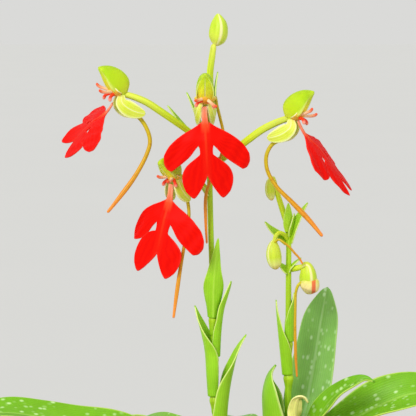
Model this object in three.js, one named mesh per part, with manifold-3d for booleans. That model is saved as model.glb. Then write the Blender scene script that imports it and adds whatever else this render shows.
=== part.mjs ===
// A potted orchid, Habenaria rhodocheila: two flowering stems grown from one terracotta pot.
// Millimetres, +Z up. The origin is the middle of the pot's underside, and -Y is the front, the side
// that most of the flowers face.

import * as THREE from 'three';
import { mergeVertices } from 'three/addons/utils/BufferGeometryUtils.js';
import Module from 'manifold-3d';

const wasm = await Module();
wasm.setup();

// Driving dimensions

const POT_HEIGHT = 98;
const POT_RIM_RADIUS = 55;
const POT_BODY_RADIUS = 51.5;
const POT_FOOT_RADIUS = 36;
const POT_WALL = 5;
const POT_FLOOR = 6;
const RIM_BAND = 22;
const POT_SIDES = 32;
const DRAIN_RADIUS = 3.5;
const DRAIN_RING = 20;

const SOIL_TOP = 88;
const STEM_FOOT = 62;
const GAP = 0.3;

const LEAF_THICK = 0.8;
const SHEATH_THICK = 0.62;
const PETAL_THICK = 0.7;

const MAIN_STEM = { x: -11.6, y: -6, foot: 1.7 };
const SECOND_STEM = { x: 14, y: 6, foot: 1.8 };

// Colours

const TERRACOTTA = 0xb5623c;
const BARK_MIX = 0x5a4030;
const STEM_GREEN = 0x8dbb16;
const SHEATH_GREEN = 0x86bd2c;
const LEAF_GREEN = 0x5f9c1e;
const PALE_LEAF = 0xd8dc6c;
const SEPAL_GREEN = 0xbcd214;
const LIP_RED = 0xee1c06;
const COLUMN_PINK = 0xea6a50;
const SPUR_OCHRE = 0xd0961c;
const BUD_GREEN = 0xa9c81c;
const BUD_YELLOW = 0xe6dc78;

// Small helpers: vectors, smooth lists and curves

const vector = ([x, y, z]) => new THREE.Vector3(x, y, z);
const radians = THREE.MathUtils.degToRad;
const smoothPath = points => new THREE.CatmullRomCurve3(points.map(vector), false, 'centripetal');

// The smooth value at t, from 0 to 1, of numbers spread evenly over that range.
function along(values, t) {
  const last = values.length - 1;
  if (last === 0) return values[0];
  const x = THREE.MathUtils.clamp(t, 0, 1) * last;
  const i = Math.min(Math.floor(x), last - 1);
  const f = x - i;
  const before = values[Math.max(i - 1, 0)];
  const [a, b] = [values[i], values[i + 1]];
  const after = values[Math.min(i + 2, last)];
  const bend = 2 * before - 5 * a + 4 * b - after;
  return 0.5 * (2 * a + (b - before) * f + bend * f * f + (3 * a - before - 3 * b + after) * f ** 3);
}

function alongVectors(points, t) {
  return vector([0, 1, 2].map(k => along(points.map(p => p[k]), t)));
}

function seededRandom(seed) {
  let state = seed;
  return () => {
    state = (state * 1664525 + 1013904223) % 4294967296;
    return state / 4294967296;
  };
}

// Closed bodies

function geometryFrom(corners, triangles) {
  const geometry = new THREE.BufferGeometry();
  const flat = corners.flatMap(p => [p.x, p.y, p.z]);
  geometry.setAttribute('position', new THREE.Float32BufferAttribute(flat, 3));
  geometry.setIndex(triangles.flat());
  return geometry;
}

function toSolid(geometry) {
  const bare = geometry.clone();
  bare.deleteAttribute('normal');
  bare.deleteAttribute('uv');
  const merged = mergeVertices(bare, 1e-4);
  const mesh = new wasm.Mesh({
    numProp: 3,
    vertProperties: new Float32Array(merged.attributes.position.array),
    triVerts: new Uint32Array(merged.index.array),
  });
  return new wasm.Manifold(mesh);
}

function toGeometry(solid) {
  const mesh = solid.getMesh();
  const geometry = new THREE.BufferGeometry();
  geometry.setAttribute('position', new THREE.BufferAttribute(new Float32Array(mesh.vertProperties), 3));
  geometry.setIndex(new THREE.BufferAttribute(new Uint32Array(mesh.triVerts), 1));
  return geometry;
}

const fused = geometries => toGeometry(geometries.map(toSolid).reduce((a, b) => a.add(b)));

function cutBy(geometry, cutters) {
  const cut = (body, cutter) => body.subtract(cutter);
  return toGeometry(cutters.map(toSolid).reduce(cut, toSolid(geometry)));
}

// A rod along a smooth path, with a radius that changes along it and a closed point at each end.
function limb(points, radii, { rows = 10, sides = 7 } = {}) {
  const path = smoothPath(points);
  const { normals, binormals } = path.computeFrenetFrames(rows, false);
  const corners = [];
  const triangles = [];
  for (let i = 0; i <= rows; i += 1) {
    const centre = path.getPointAt(i / rows);
    const radius = along(radii, i / rows);
    for (let j = 0; j < sides; j += 1) {
      const angle = (2 * Math.PI * j) / sides;
      const corner = centre.clone();
      corner.addScaledVector(normals[i], radius * Math.cos(angle));
      corner.addScaledVector(binormals[i], radius * Math.sin(angle));
      corners.push(corner);
    }
  }
  for (let i = 0; i < rows; i += 1) {
    for (let j = 0; j < sides; j += 1) {
      const next = (j + 1) % sides;
      const [a, b] = [i * sides + j, i * sides + next];
      triangles.push([a, b, b + sides], [a, b + sides, a + sides]);
    }
  }
  for (let j = 2; j < sides; j += 1) {
    const top = rows * sides;
    triangles.push([0, j, j - 1], [top, top + j - 1, top + j]);
  }
  return geometryFrom(corners, triangles);
}

// A flat patch of points and triangles, from grids that share the points where they meet.
function joinGrids(grids) {
  const points = [];
  const known = new Map();
  const triangles = [];
  const indexOf = ([u, v]) => {
    const key = `${u.toFixed(4)} ${v.toFixed(4)}`;
    if (!known.has(key)) {
      known.set(key, points.length);
      points.push([u, v]);
    }
    return known.get(key);
  };
  for (const grid of grids) {
    for (let i = 0; i + 1 < grid.length; i += 1) {
      for (let j = 0; j + 1 < grid[i].length; j += 1) {
        const corner = [grid[i][j], grid[i][j + 1], grid[i + 1][j + 1], grid[i + 1][j]];
        const [a, b, c, d] = corner.map(indexOf);
        triangles.push([a, b, c], [a, c, d]);
      }
    }
  }
  return { points, triangles: triangles.filter(([a, b, c]) => a !== b && b !== c && c !== a) };
}

function rectangle(columns, rows) {
  const grid = [];
  for (let i = 0; i <= rows; i += 1) {
    grid.push(Array.from({ length: columns + 1 }, (_, j) => [(2 * j) / columns - 1, i / rows]));
  }
  return joinGrids([grid]);
}

// A sheet with two faces and a rim. `place` puts each point of the patch in space, and the sheet
// lies half its thickness to each side of that middle surface.
function sheet(patch, place, thickness, step = 0.02) {
  const middle = patch.points.map(([u, v]) => place(u, v));
  const normals = patch.points.map(([u, v]) => {
    const across = place(u + step, v).sub(place(u - step, v));
    const down = place(u, v + step).sub(place(u, v - step));
    return across.cross(down).normalize();
  });
  const count = middle.length;
  const front = middle.map((p, i) => p.clone().addScaledVector(normals[i], thickness / 2));
  const back = middle.map((p, i) => p.clone().addScaledVector(normals[i], -thickness / 2));
  const triangles = [];
  const directed = new Set();
  for (const [a, b, c] of patch.triangles) {
    triangles.push([a, b, c], [c + count, b + count, a + count]);
    for (const [from, to] of [[a, b], [b, c], [c, a]]) directed.add(`${from} ${to}`);
  }
  for (const edge of directed) {
    const [a, b] = edge.split(' ').map(Number);
    if (directed.has(`${b} ${a}`)) continue;
    triangles.push([b, a, a + count], [b, a + count, b + count]);
  }
  return geometryFrom([...front, ...back], triangles);
}

// A leaf, bract or sepal. `spine` is its midrib from the root to the tip, `face` the way its upper
// face looks, `half` its half width and `curl` how tightly its edges turn towards that face, in
// turns of 1/mm. `keel` folds it along the midrib and `wave` ruffles its edges.
function blade({
  spine, face, half, curl = [0], keel = [0], wave = 0, waves = 3, phase = 0,
  thickness = LEAF_THICK, rows = 10, columns = 4,
}) {
  const path = smoothPath(spine);
  const place = (s, v) => {
    const t = THREE.MathUtils.clamp(v, 0, 1);
    const tangent = path.getTangentAt(t);
    const up = alongVectors(face, t);
    up.addScaledVector(tangent, -up.dot(tangent)).normalize();
    const side = tangent.clone().cross(up);
    const arc = s * along(half, t);
    const bend = along(curl, t);
    const flat = Math.abs(bend) < 1e-4;
    const across = flat ? arc : Math.sin(arc * bend) / bend;
    const rise = flat ? 0 : (1 - Math.cos(arc * bend)) / bend;
    const ruffle = wave * s * s * Math.sin(waves * 2 * Math.PI * t + phase + (s > 0 ? 1.7 : 0));
    const fold = Math.abs(arc) * along(keel, t);
    const point = path.getPointAt(t).addScaledVector(side, across);
    return point.addScaledVector(up, rise + fold + ruffle * Math.sin(Math.PI * t));
  };
  return sheet(rectangle(columns, rows), place, thickness, 0.004);
}

// Pot and filling

function potProfile() {
  const shoulder = POT_HEIGHT - RIM_BAND;
  const wallTop = POT_BODY_RADIUS - POT_WALL;
  const wallFoot = POT_FOOT_RADIUS - POT_WALL;
  return [
    [0, 0],
    [POT_FOOT_RADIUS - 1, 0],
    [POT_FOOT_RADIUS, 1],
    [POT_BODY_RADIUS - 2.5, shoulder],
    [POT_RIM_RADIUS - 1.4, shoulder],
    [POT_RIM_RADIUS - 0.8, shoulder + 1],
    [POT_RIM_RADIUS, POT_HEIGHT - 1.5],
    [POT_RIM_RADIUS - 1.5, POT_HEIGHT],
    [wallTop + 1.5, POT_HEIGHT],
    [wallTop + 0.3, POT_HEIGHT - 1.2],
    [wallFoot, POT_FLOOR],
    [0, POT_FLOOR],
  ];
}

// A turned body: the outline runs from the axis at the bottom, up the outside, back to the axis.
function turned(profile, segments) {
  const lathe = new THREE.LatheGeometry(profile.map(([r, z]) => new THREE.Vector2(r, z)), segments);
  return lathe.rotateX(Math.PI / 2);
}

function upright(radius, low, high, x, y, sides = 12) {
  const rod = new THREE.CylinderGeometry(radius, radius, high - low, sides);
  return rod.rotateX(Math.PI / 2).translate(x, y, (low + high) / 2);
}

function makePot() {
  const drains = [45, 135, 225, 315].map(angle => {
    const x = DRAIN_RING * Math.cos(radians(angle));
    const y = DRAIN_RING * Math.sin(radians(angle));
    return upright(DRAIN_RADIUS, -1, POT_FLOOR + 1, x, y, 10);
  });
  return cutBy(turned(potProfile(), POT_SIDES), drains);
}

const potInside = z => {
  const [low, high] = [POT_FOOT_RADIUS - POT_WALL, POT_BODY_RADIUS - POT_WALL + 0.3];
  return THREE.MathUtils.mapLinear(z, POT_FLOOR, POT_HEIGHT - 1.2, low, high);
};

// The top of the mix is uneven, and level close to the stems.
function soilHeight(x, y) {
  const bumps = 0.9 * Math.sin(0.33 * x + 0.8) * Math.cos(0.29 * y) + 0.6 * Math.sin(0.19 * (x + y) + 2);
  const near = [MAIN_STEM, SECOND_STEM].map(stem => Math.hypot(x - stem.x, y - stem.y));
  return SOIL_TOP + bumps * THREE.MathUtils.smoothstep(Math.min(...near), 6, 14);
}

function soilBody() {
  const wall = z => potInside(z) - GAP;
  const bottom = POT_FLOOR + GAP;
  const profile = [[0, bottom], [wall(bottom) - 0.2, bottom]];
  for (const share of [1, 0.8, 0.6, 0.4, 0.2]) profile.push([wall(SOIL_TOP) * share, SOIL_TOP]);
  profile.push([0, SOIL_TOP]);
  const body = turned(profile, POT_SIDES);
  const position = body.attributes.position;
  for (let i = 0; i < position.count; i += 1) {
    if (position.getZ(i) < SOIL_TOP - 1) continue;
    const [x, y] = [position.getX(i), position.getY(i)];
    const atWall = Math.hypot(x, y) > wall(SOIL_TOP) - 0.1;
    position.setZ(i, atWall ? SOIL_TOP - 0.4 : soilHeight(x, y));
  }
  return body;
}

// Bark chips lie half sunk in the mix, clear of the stems and of the pot's wall.
function barkChips(count) {
  const random = seededRandom(7);
  const chips = [];
  while (chips.length < count) {
    const angle = 2 * Math.PI * random();
    const reach = 41 * Math.sqrt(random());
    const [x, y] = [reach * Math.cos(angle), reach * Math.sin(angle)];
    const size = [3 + 2.4 * random(), 2.2 + 1.6 * random(), 1.5 + 0.6 * random()];
    const turn = Math.PI * random();
    const nearStem = [MAIN_STEM, SECOND_STEM].some(stem => Math.hypot(x - stem.x, y - stem.y) < 13);
    if (nearStem) continue;
    const chip = new THREE.IcosahedronGeometry(1, 0).scale(...size).rotateZ(turn);
    chips.push(chip.translate(x, y, soilHeight(x, y) + 0.2));
  }
  return chips;
}

function makeSoil() {
  const holes = [MAIN_STEM, SECOND_STEM].map(({ x, y, foot }) => (
    upright(foot + 2 * GAP, STEM_FOOT - GAP, SOIL_TOP + 5, x, y, 14)
  ));
  return cutBy(fused([soilBody(), ...barkChips(14)]), holes);
}

// Flowers. Each one has its own axes: `forward` is the way it faces, `up` the way to the top of its
// hood and `side` the level direction across it.

function flowerAxes({ at, azimuth, pitch = 0, size = 1 }) {
  const forward = vector([Math.cos(radians(azimuth)), Math.sin(radians(azimuth)), 0]);
  const side = vector([0, 0, 1]).cross(forward);
  forward.applyAxisAngle(side, radians(-pitch));
  const up = forward.clone().cross(side);
  return (f, s, u) => {
    const point = vector(at).addScaledVector(forward, f * size).addScaledVector(side, s * size);
    return point.addScaledVector(up, u * size).toArray();
  };
}

// The hood, seen from the side: its crest and its lower edge, as [forward, up] from the flower's
// middle, and its half width from the root to the tip.
const HOOD_CREST = [[-2.0, 0.5], [-2.9, 3.4], [-2.2, 5.8], [0.2, 8.1], [3.4, 9.4], [6.0, 9.5], [7.7, 9.2]];
const HOOD_EDGE = [[-0.6, 0.1], [0.8, 0.8], [2.2, 1.8], [3.6, 3.2], [5.0, 5.0], [6.3, 7.0], [7.7, 8.5]];
const HOOD_HALF = [1.5, 2.2, 2.7, 2.9, 2.7, 1.8, 0.6];
const HOOD_REACH_DEGREES = 104;

function hood(to) {
  const path = points => t => [0, 1].map(k => along(points.map(p => p[k]), t));
  const [crest, edge] = [path(HOOD_CREST), path(HOOD_EDGE)];
  const place = (s, v) => {
    const t = THREE.MathUtils.clamp(v, 0, 1);
    const angle = s * radians(HOOD_REACH_DEGREES);
    const [cf, cu] = crest(t);
    const [ef, eu] = edge(t);
    const rise = Math.cos(angle);
    return vector(to(ef + (cf - ef) * rise, along(HOOD_HALF, t) * Math.sin(angle), eu + (cu - eu) * rise));
  };
  return sheet(rectangle(6, 6), place, PETAL_THICK, 0.01);
}

// A side sepal hangs back from the flower's middle, its outer face out to the side. `hang` turns it
// further down, in degrees, and `spread` sets its tip further out.
function sideSepal(to, hand, { hang = 0, spread = 1 } = {}) {
  const [cos, sin] = [Math.cos(radians(hang)), Math.sin(radians(hang))];
  const spine = [
    [0.2, 1.5, -0.3], [0.3, 2.4, -2.9], [-2.2, 3.0, -5.1], [-5.2, 3.2, -6.3], [-8.0, 3.1, -6.8],
  ];
  const face = [[0.2, 1, 0.3], [0, 1, 0.1], [0, 1, 0], [0, 1, 0]];
  const middle = vector(to(0, 0, 0));
  const outward = i => hand * (1 + ((spread - 1) * i) / (spine.length - 1));
  return blade({
    spine: spine.map(([f, s, u], i) => to(f * cos - u * sin, s * outward(i), f * sin + u * cos)),
    face: face.map(([f, s, u]) => vector(to(f, s * hand, u)).sub(middle).toArray()),
    half: [1.1, 2.4, 2.8, 2.1, 0.5],
    curl: [-0.08, -0.08, -0.04, -0.03],
    thickness: PETAL_THICK,
    rows: 6,
    columns: 2,
  });
}

function sepals(to, [one, other] = []) {
  const knobPath = [to(-1.5, 0, 0), to(-0.4, 0, 0), to(0.8, 0, 0)];
  const knob = limb(knobPath, [1.2, 1.7, 1.3], { rows: 3, sides: 8 });
  return fused([knob, hood(to), sideSepal(to, 1, one), sideSepal(to, -1, other)]);
}

// The column with its upper arms, which carry the pollen, and its lower arms, below them.
function column(to) {
  const corePath = [to(1.5, 0, 0.6), to(2.8, 0, 1.1), to(4.4, 0, 1.4)];
  const parts = [limb(corePath, [0.8, 1.1, 0.6], { rows: 3, sides: 8 })];
  for (const hand of [-1, 1]) {
    const upper = [[3.0, 0.5, 1.6], [4.8, 1.3, 1.7], [6.4, 1.9, 1.8], [7.6, 2.3, 2.8]];
    const lower = [[3.0, 0.5, 0.6], [4.4, 1.8, 0.1], [5.2, 2.8, -0.9], [5.3, 3.4, -2.2]];
    for (const [path, radii] of [[upper, [0.5, 0.42, 0.36]], [lower, [0.55, 0.45, 0.62]]]) {
      parts.push(limb(path.map(([f, s, u]) => to(f, s * hand, u)), radii, { rows: 4, sides: 4 }));
    }
  }
  return fused(parts);
}

// The lip laid flat: u to the side, v down from the top of its claw.
const LIP_LENGTH = 32.6;
const CLAW_LENGTH = 5;
const SIDE_LOBE_REACH = 14;
const MIDDLE_LOBE_REACH = 9;
const LIP_STRIP = [
  [0, 1.0], [2, 1.05], [4, 1.1], [5.4, 1.2], [7.6, 1.5], [9.8, 1.8], [12, 2.2], [13.8, 2.6], [15.4, 2.35],
  [17, 2.35],
];
const SIDE_LOBE_ROOT = [3, 7];
const SIDE_LOBE_UPPER = [[3.8, 7.2], [7.2, 9.0], [10.5, 11.2], [13.4, 13.9], [15.2, 17.0]];
const SIDE_LOBE_LOWER = [[4.2, 15.6], [5.8, 17.6], [8.2, 19.6], [10.6, 21.3], [12.6, 22.7]];
const SIDE_LOBE_END = [[15.2, 17.0], [15.4, 19.4], [14.9, 21.0], [14.0, 22.2], [12.6, 22.7]];
const MIDDLE_LOBE_OUTER = [[4.0, 18.3], [6.2, 19.9], [8.1, 21.9], [9.1, 24.6], [8.9, 27.6], [7.9, 30.2]];
const MIDDLE_LOBE_INNER = [[0, 19.4], [0, 22], [0, 24.6], [0.7, 26.4], [1.9, 28.6], [3.2, 30.6]];
const MIDDLE_LOBE_END = [[3.2, 30.6], [4.9, 32.6], [6.3, 32.0], [7.9, 30.2]];
const LIP_RUFFLE = 0.5;

function between([ua, va], [ub, vb], share) {
  return [ua + (ub - ua) * share, va + (vb - va) * share];
}

function lipPatch() {
  const shares = [-1, -2 / 3, -1 / 3, 0, 1 / 3, 2 / 3, 1];
  const strip = LIP_STRIP.map(([v, half]) => shares.map(share => [share * half, v]));
  const grids = [strip];
  for (const hand of [1, -1]) {
    const [first, last] = SIDE_LOBE_ROOT;
    const sideLobe = [LIP_STRIP.slice(first, last + 1).map(([v, half]) => [half, v])];
    const [stripEnd, stripHalf] = LIP_STRIP.at(-1);
    const middleLobe = [[0, 1 / 3, 2 / 3, 1].map(share => [share * stripHalf, stripEnd])];
    SIDE_LOBE_UPPER.slice(0, -1).forEach((upper, i) => {
      sideLobe.push([0, 0.25, 0.5, 0.75, 1].map(share => between(upper, SIDE_LOBE_LOWER[i], share)));
    });
    sideLobe.push(SIDE_LOBE_END);
    MIDDLE_LOBE_INNER.slice(0, -1).forEach((inner, i) => {
      middleLobe.push([0, 1 / 3, 2 / 3, 1].map(share => between(inner, MIDDLE_LOBE_OUTER[i], share)));
    });
    middleLobe.push(MIDDLE_LOBE_END);
    const mirrored = grid => grid.map(row => row.map(([u, v]) => [u * hand, v]));
    const turnOver = grid => (hand < 0 ? grid.map(row => [...row].reverse()) : grid);
    grids.push(turnOver(mirrored(sideLobe)).reverse(), turnOver(mirrored(middleLobe)));
  }
  return joinGrids(grids);
}

// A lip hangs from `top`: `down` is the way its midrib runs, `side` the way across it and `size` its
// scale. `droop` is how far its end bends back, `spread` how far its side lobes do, `lift` how far
// they rise towards the claw, `sway` how far its end leans to the side, `narrow` how much less one
// half reaches out than the other, `cup` how far that half bends forward at its end and `taper` how
// much narrower each half gets towards the end, where a value below zero makes it wider.
function lip({
  top, down, side, size = 1, droop = 2, spread = 3, lift = 0, sway = 0, narrow = 0, cup = 0, taper = [0, 0],
}) {
  const axis = vector(down).normalize();
  const across = vector(side).normalize();
  const out = axis.clone().cross(across).normalize();
  const place = (u, v) => {
    const width = Math.max(0, Math.abs(u) - 1.2) / SIDE_LOBE_REACH;
    const end = Math.max(0, v - CLAW_LENGTH) / (LIP_LENGTH - CLAW_LENGTH);
    const cupped = u < 0 ? (cup * -u * end ** 2) / MIDDLE_LOBE_REACH : 0;
    const wave = LIP_RUFFLE * width * Math.sin(0.62 * v + 1.1 * u) + cupped;
    const back = spread * width ** 1.6 + droop * end ** 2 + 0.9 * Math.sin(Math.PI * Math.min(1, v / 12));
    const reach = u < 0 ? (1 - narrow * width) * (1 - taper[0] * end) : 1 - taper[1] * end;
    const aside = u * reach + sway * end ** 2;
    const point = vector(top).addScaledVector(across, aside * size);
    point.addScaledVector(axis, (v - lift * width) * size);
    return point.addScaledVector(out, (wave - back) * size);
  };
  return sheet(lipPatch(), place, PETAL_THICK + 0.1);
}

const FLOWERS = {
  left: {
    at: [-44.3, -14, 224.4],
    azimuth: 197,
    lip: {
      top: [-47.0, -15.3, 221.2],
      down: [-0.63, 0.51, -0.59],
      side: [-0.02, -0.915, -0.394],
      size: 0.91,
      spread: 3.3,
      lift: 4.6,
      droop: 0.8,
      cup: 4.5,
    },
    spur: [
      [-44.6, -14.2, 220.6], [-42.2, -13, 218.2], [-38.6, -12.5, 216.6], [-35.8, -12.6, 213],
      [-34.4, -12.8, 208.2], [-35.4, -13.2, 204], [-39.4, -14.4, 196.4], [-45, -15.6, 188.8],
      [-49, -16, 183.8],
    ],
    spurRadii: [0.8, 0.72, 0.72, 0.75, 0.85, 0.5],
  },
  centre: {
    at: [-15.5, -16, 222],
    azimuth: 270,
    lip: {
      top: [-15.8, -19.2, 220.3],
      down: [0.05, -0.06, -1],
      side: [1, 0, 0.04],
      size: 0.96,
      spread: 2.4,
    },
    spur: [
      [-15.2, -16.9, 219], [-14.4, -14.2, 217.6], [-14.05, -11.8, 218.2], [-13, -9.6, 220.9],
      [-12.1, -8.6, 223.6], [-11.4, -9.0, 220.2], [-10.3, -9.4, 215.8], [-9.2, -10, 210.6],
      [-9.6, -11, 204.4],
      [-12.4, -11.4, 197.4], [-15.1, -10.4, 190], [-15.3, -9.4, 181], [-14.9, -8.9, 172.4],
    ],
    spurRadii: [0.7, 0.58, 0.56, 0.56, 0.6, 0.62, 0.4],
  },
  lower: {
    at: [-25.3, -10.0, 195.8],
    azimuth: 228,
    pitch: -20,
    size: 0.88,
    sideSepals: [{ hang: 44 }, { hang: 40, spread: 1.8 }],
    lip: {
      top: [-27.1, -12.2, 193.3],
      down: [-0.185, -0.08, -0.98],
      side: [0.87, -0.45, -0.2],
      size: 1,
      lift: 1,
      sway: -2,
      narrow: 0.32,
      taper: [-0.25, 0],
    },
    spur: [
      [-25.2, -10.3, 192.4], [-24.3, -8.9, 190.6], [-23.2, -7.6, 189.6], [-22.1, -7, 188.4],
      [-21.4, -7.2, 186],
      [-21.1, -8, 182], [-21.9, -9.6, 176.2], [-23, -11.1, 170.2], [-24.4, -12.7, 161.8],
      [-25.7, -13.7, 152.6],
      [-26.4, -14.2, 147.1],
    ],
    spurRadii: [0.7, 0.6, 0.6, 0.62, 0.72, 0.45],
  },
  right: {
    at: [14.1, -14, 216.1],
    azimuth: 343,
    lip: {
      top: [16.2, -15.2, 215.3],
      down: [0.595, 0.088, -0.8],
      side: [0.184, 0.953, 0.242],
      size: 0.97,
      spread: 2.4,
      lift: 0.7,
      droop: 0.2,
      taper: [0.6, 0.28],
    },
    spur: [
      [13.9, -14.2, 212.4], [11.3, -13.2, 209.2], [7.6, -12.8, 207.1], [5.6, -12.9, 203.4],
      [5.8, -13.2, 198.4], [8.8, -13.8, 192.9], [14.3, -14.8, 187.3], [20.1, -15.6, 181.3],
      [24.8, -16, 175.6],
    ],
    spurRadii: [0.8, 0.72, 0.72, 0.78, 0.95, 0.6],
  },
};

// Stems, with the stalks and bracts that grow out of them

const MAIN_STALKS = [
  [
    [-14.6, -6, 204.6], [-20.6, -8.4, 210.8], [-25.8, -10.4, 214.8], [-31, -12, 218.5], [-36.1, -13, 221.8],
    [-41.9, -13.6, 224],
  ],
  [
    [-13.6, -6, 199.6], [-7.5, -8.6, 203.2], [-1.6, -10.8, 207.8], [4.6, -12.6, 212.4], [11.8, -13.7, 215.7],
  ],
  [[-13.8, -6, 207.6], [-14.6, -8.6, 214.2], [-15.9, -11.8, 219.4], [-15.7, -13.8, 221.5]],
  [[-14.2, -6, 190.2], [-17.6, -6.2, 193.8], [-20.8, -7, 195.5], [-23.6, -8.6, 195.5]],
];
const LONG_STALK_RADII = [1.05, 1.15, 1.3, 1.3, 1.1];
const STALK_RADII = [LONG_STALK_RADII, LONG_STALK_RADII, [1, 0.95, 0.9], [0.9, 1, 1.1, 1, 0.9]];
const TOP_STALK = {
  path: [[-13.2, -6, 222], [-13.8, -6.6, 231], [-13, -7, 237.6], [-12.5, -7.2, 241.4]],
  radii: [0.95, 1.15, 1.2, 1.05],
};

// Each bract is a small pointed leaf: its midrib and the way its upper face looks.
const MAIN_BRACTS = [
  {
    spine: [[-15, -6, 203], [-19, -7, 208], [-22.8, -8, 212.8], [-26.2, -9, 217.4], [-28.6, -9.6, 220.6]],
    face: [[0.4, -0.4, 0.8]],
  },
  {
    spine: [[-14.6, -6, 206.6], [-17.6, -5.6, 214], [-19.9, -5.6, 220.2], [-21.9, -6, 225]],
    face: [[0.9, -0.3, 0.2]],
  },
  {
    spine: [[-13, -5.8, 214.8], [-12, -5.2, 220], [-11.9, -5, 226], [-11.2, -5, 232]],
    face: [[-1, -0.2, 0.1]],
  },
  {
    spine: [[-13.2, -6, 197.8], [-10, -6.4, 200.2], [-6.4, -7.4, 203.2], [-2.6, -8.4, 208]],
    face: [[-0.5, 0.1, 0.9]],
  },
  {
    spine: [[-14.6, -6, 188.4], [-17, -6, 192], [-19.6, -5.6, 195.8], [-21.6, -5, 199.2]],
    face: [[0.5, 0.2, 0.8]],
  },
];

function bract({ spine, face, half = [1.2, 1.9, 1.7, 1.1, 0.4], curl = [0.4, 0.25, 0.15] }) {
  return blade({ spine, face, half, curl, thickness: SHEATH_THICK, rows: 5, columns: 2 });
}

function makeMainStem() {
  const { x, y, foot } = MAIN_STEM;
  const shaft = [
    [x, y, STEM_FOOT], [x, y, 90], [x - 0.2, y, 111], [-12.4, y, 132], [-12.7, y, 146], [-13.1, y, 164],
    [-13.6, y, 180], [-13.9, y, 198], [-13.6, y, 214], [-13.2, y, 224],
  ];
  const radii = [foot, foot, 1.5, 1.1, 1.05, 1.05, 1.0, 1.0, 0.95, 0.9];
  const parts = [limb(shaft, radii, { rows: 14, sides: 8 })];
  MAIN_STALKS.forEach((path, i) => parts.push(limb(path, STALK_RADII[i], { rows: 6, sides: 6 })));
  parts.push(limb(TOP_STALK.path, TOP_STALK.radii, { rows: 5, sides: 7 }));
  parts.push(...MAIN_BRACTS.map(bract));
  return fused(parts);
}

const SECOND_STALKS = [
  {
    path: [[13.5, 6, 177.6], [11.4, 5.6, 184], [9.6, 5.2, 189.8], [8.4, 5, 194], [7.7, 4.8, 194.8]],
    radii: [1.1, 1.05, 0.9, 0.8],
  },
  {
    path: [[13.8, 6, 172], [12.3, 4.4, 174.2], [10.5, 3.2, 174.9], [9.4, 2.8, 174]],
    radii: [0.9, 0.8, 0.7],
  },
  { path: [[14.1, 6, 161.6], [16.2, 4.4, 162.2], [18, 3.5, 162.7]], radii: [1.1, 1.1, 0.9] },
];
const BROAD_BRACT = [1.5, 2.5, 2.1, 1.2, 0.4];
const SECOND_BRACTS = [
  {
    spine: [[13, 6, 170.8], [9.8, 5, 174], [7.3, 4.5, 176.6], [5.5, 4.2, 179]],
    face: [[0.5, -0.6, 0.6]],
    half: BROAD_BRACT,
  },
  {
    spine: [[14.6, 5.8, 171], [16.2, 5.2, 177], [18.2, 4.8, 181.6], [20.7, 4.6, 185.8]],
    face: [[-0.7, -0.6, 0.3]],
    half: BROAD_BRACT,
  },
  {
    spine: [[13.8, 4.9, 175], [13.8, 4.3, 179], [13.8, 4.2, 182], [13.7, 4.2, 185.6]],
    face: [[-0.2, 0.9, 0]],
  },
  {
    spine: [[14.6, 5.8, 173.4], [15.3, 5, 177], [15.6, 4.8, 179.4], [15.8, 4.8, 181.8]],
    face: [[-0.8, 0.3, 0.1]],
  },
  {
    spine: [[14.3, 5.4, 160.8], [15.8, 4.6, 163.4], [17.2, 4.2, 165], [18.4, 4, 166.2]],
    face: [[-0.4, -0.2, 0.8]],
  },
  {
    spine: [[13.6, 5.6, 160.6], [12.3, 4.8, 162], [11.4, 4.4, 163.2], [10.8, 4.2, 164.6]],
    face: [[0.5, -0.5, 0.4]],
  },
];

function makeSecondStem() {
  const { x, y, foot } = SECOND_STEM;
  const shaft = [
    [x, y, STEM_FOOT], [x, y, 92], [x, y, 120], [x, y, 134], [x, y, 148], [x, y, 162], [x, y, 172],
    [13.5, y, 179],
  ];
  const radii = [foot, foot, 1.4, 1.2, 1.1, 1.05, 1.0, 0.9];
  const parts = [limb(shaft, radii, { rows: 12, sides: 8 })];
  for (const stalk of SECOND_STALKS) parts.push(limb(stalk.path, stalk.radii, { rows: 5, sides: 6 }));
  parts.push(...SECOND_BRACTS.map(bract));
  return fused(parts);
}

// Buds. Each is cut clear of the stalk that carries it.

const TOP_BUD = {
  path: [[-11.9, -6.4, 240.6], [-11.1, -6.2, 243.4], [-10.7, -6, 247.2], [-11.1, -6, 251.8]],
  radii: [1.6, 3.1, 3.3, 2.6, 0.8],
};
const SECOND_BUDS = [
  {
    path: [[7.5, 4.8, 194.2], [7.2, 4.7, 192.6], [7.3, 4.6, 189.6], [8, 4.5, 186.2]],
    radii: [0.9, 1.5, 1.75, 1.6, 0.8],
  },
  {
    path: [[8.8, 2.6, 172.7], [8.5, 2.5, 170.6], [8.6, 2.4, 166.8], [9.5, 2.4, 162]],
    radii: [0.9, 2.1, 2.6, 2.3, 1.2],
  },
];
const BUD_CAP = {
  path: [[18.8, 3, 162.7], [20.3, 2.8, 163], [21, 2.6, 161.2], [21.1, 2.6, 159.4]],
  radii: [0.9, 2, 2.5, 2.7],
};
const BUD_BELLY = {
  path: [[21.1, 2.6, 159], [21.1, 2.6, 157.4], [20.9, 2.6, 155.2], [20.4, 2.6, 153.3]],
  radii: [2.7, 3.4, 3.3, 1.7],
};
const BUD_SPURS = {
  second_2: {
    path: [
      [10.4, -0.6, 172.9], [12.1, -0.9, 171.9], [14, -1, 170.4], [15.7, -0.9, 168.4], [17.5, -0.6, 166.4],
      [18.7, -0.4, 164.3],
    ],
    radii: [0.42, 0.42, 0.42, 0.36],
  },
  second_3: {
    path: [
      [16.9, 1.2, 156.2], [16.4, 1.4, 154.2], [16.3, 1.6, 150], [16.2, 1.6, 142], [16.4, 1.4, 132],
      [16.9, 1.2, 124],
    ],
    radii: [0.6, 0.5, 0.52, 0.58, 0.36],
  },
};

const budBody = ({ path, radii }, rows = 6) => limb(path, radii, { rows, sides: 9 });

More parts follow.
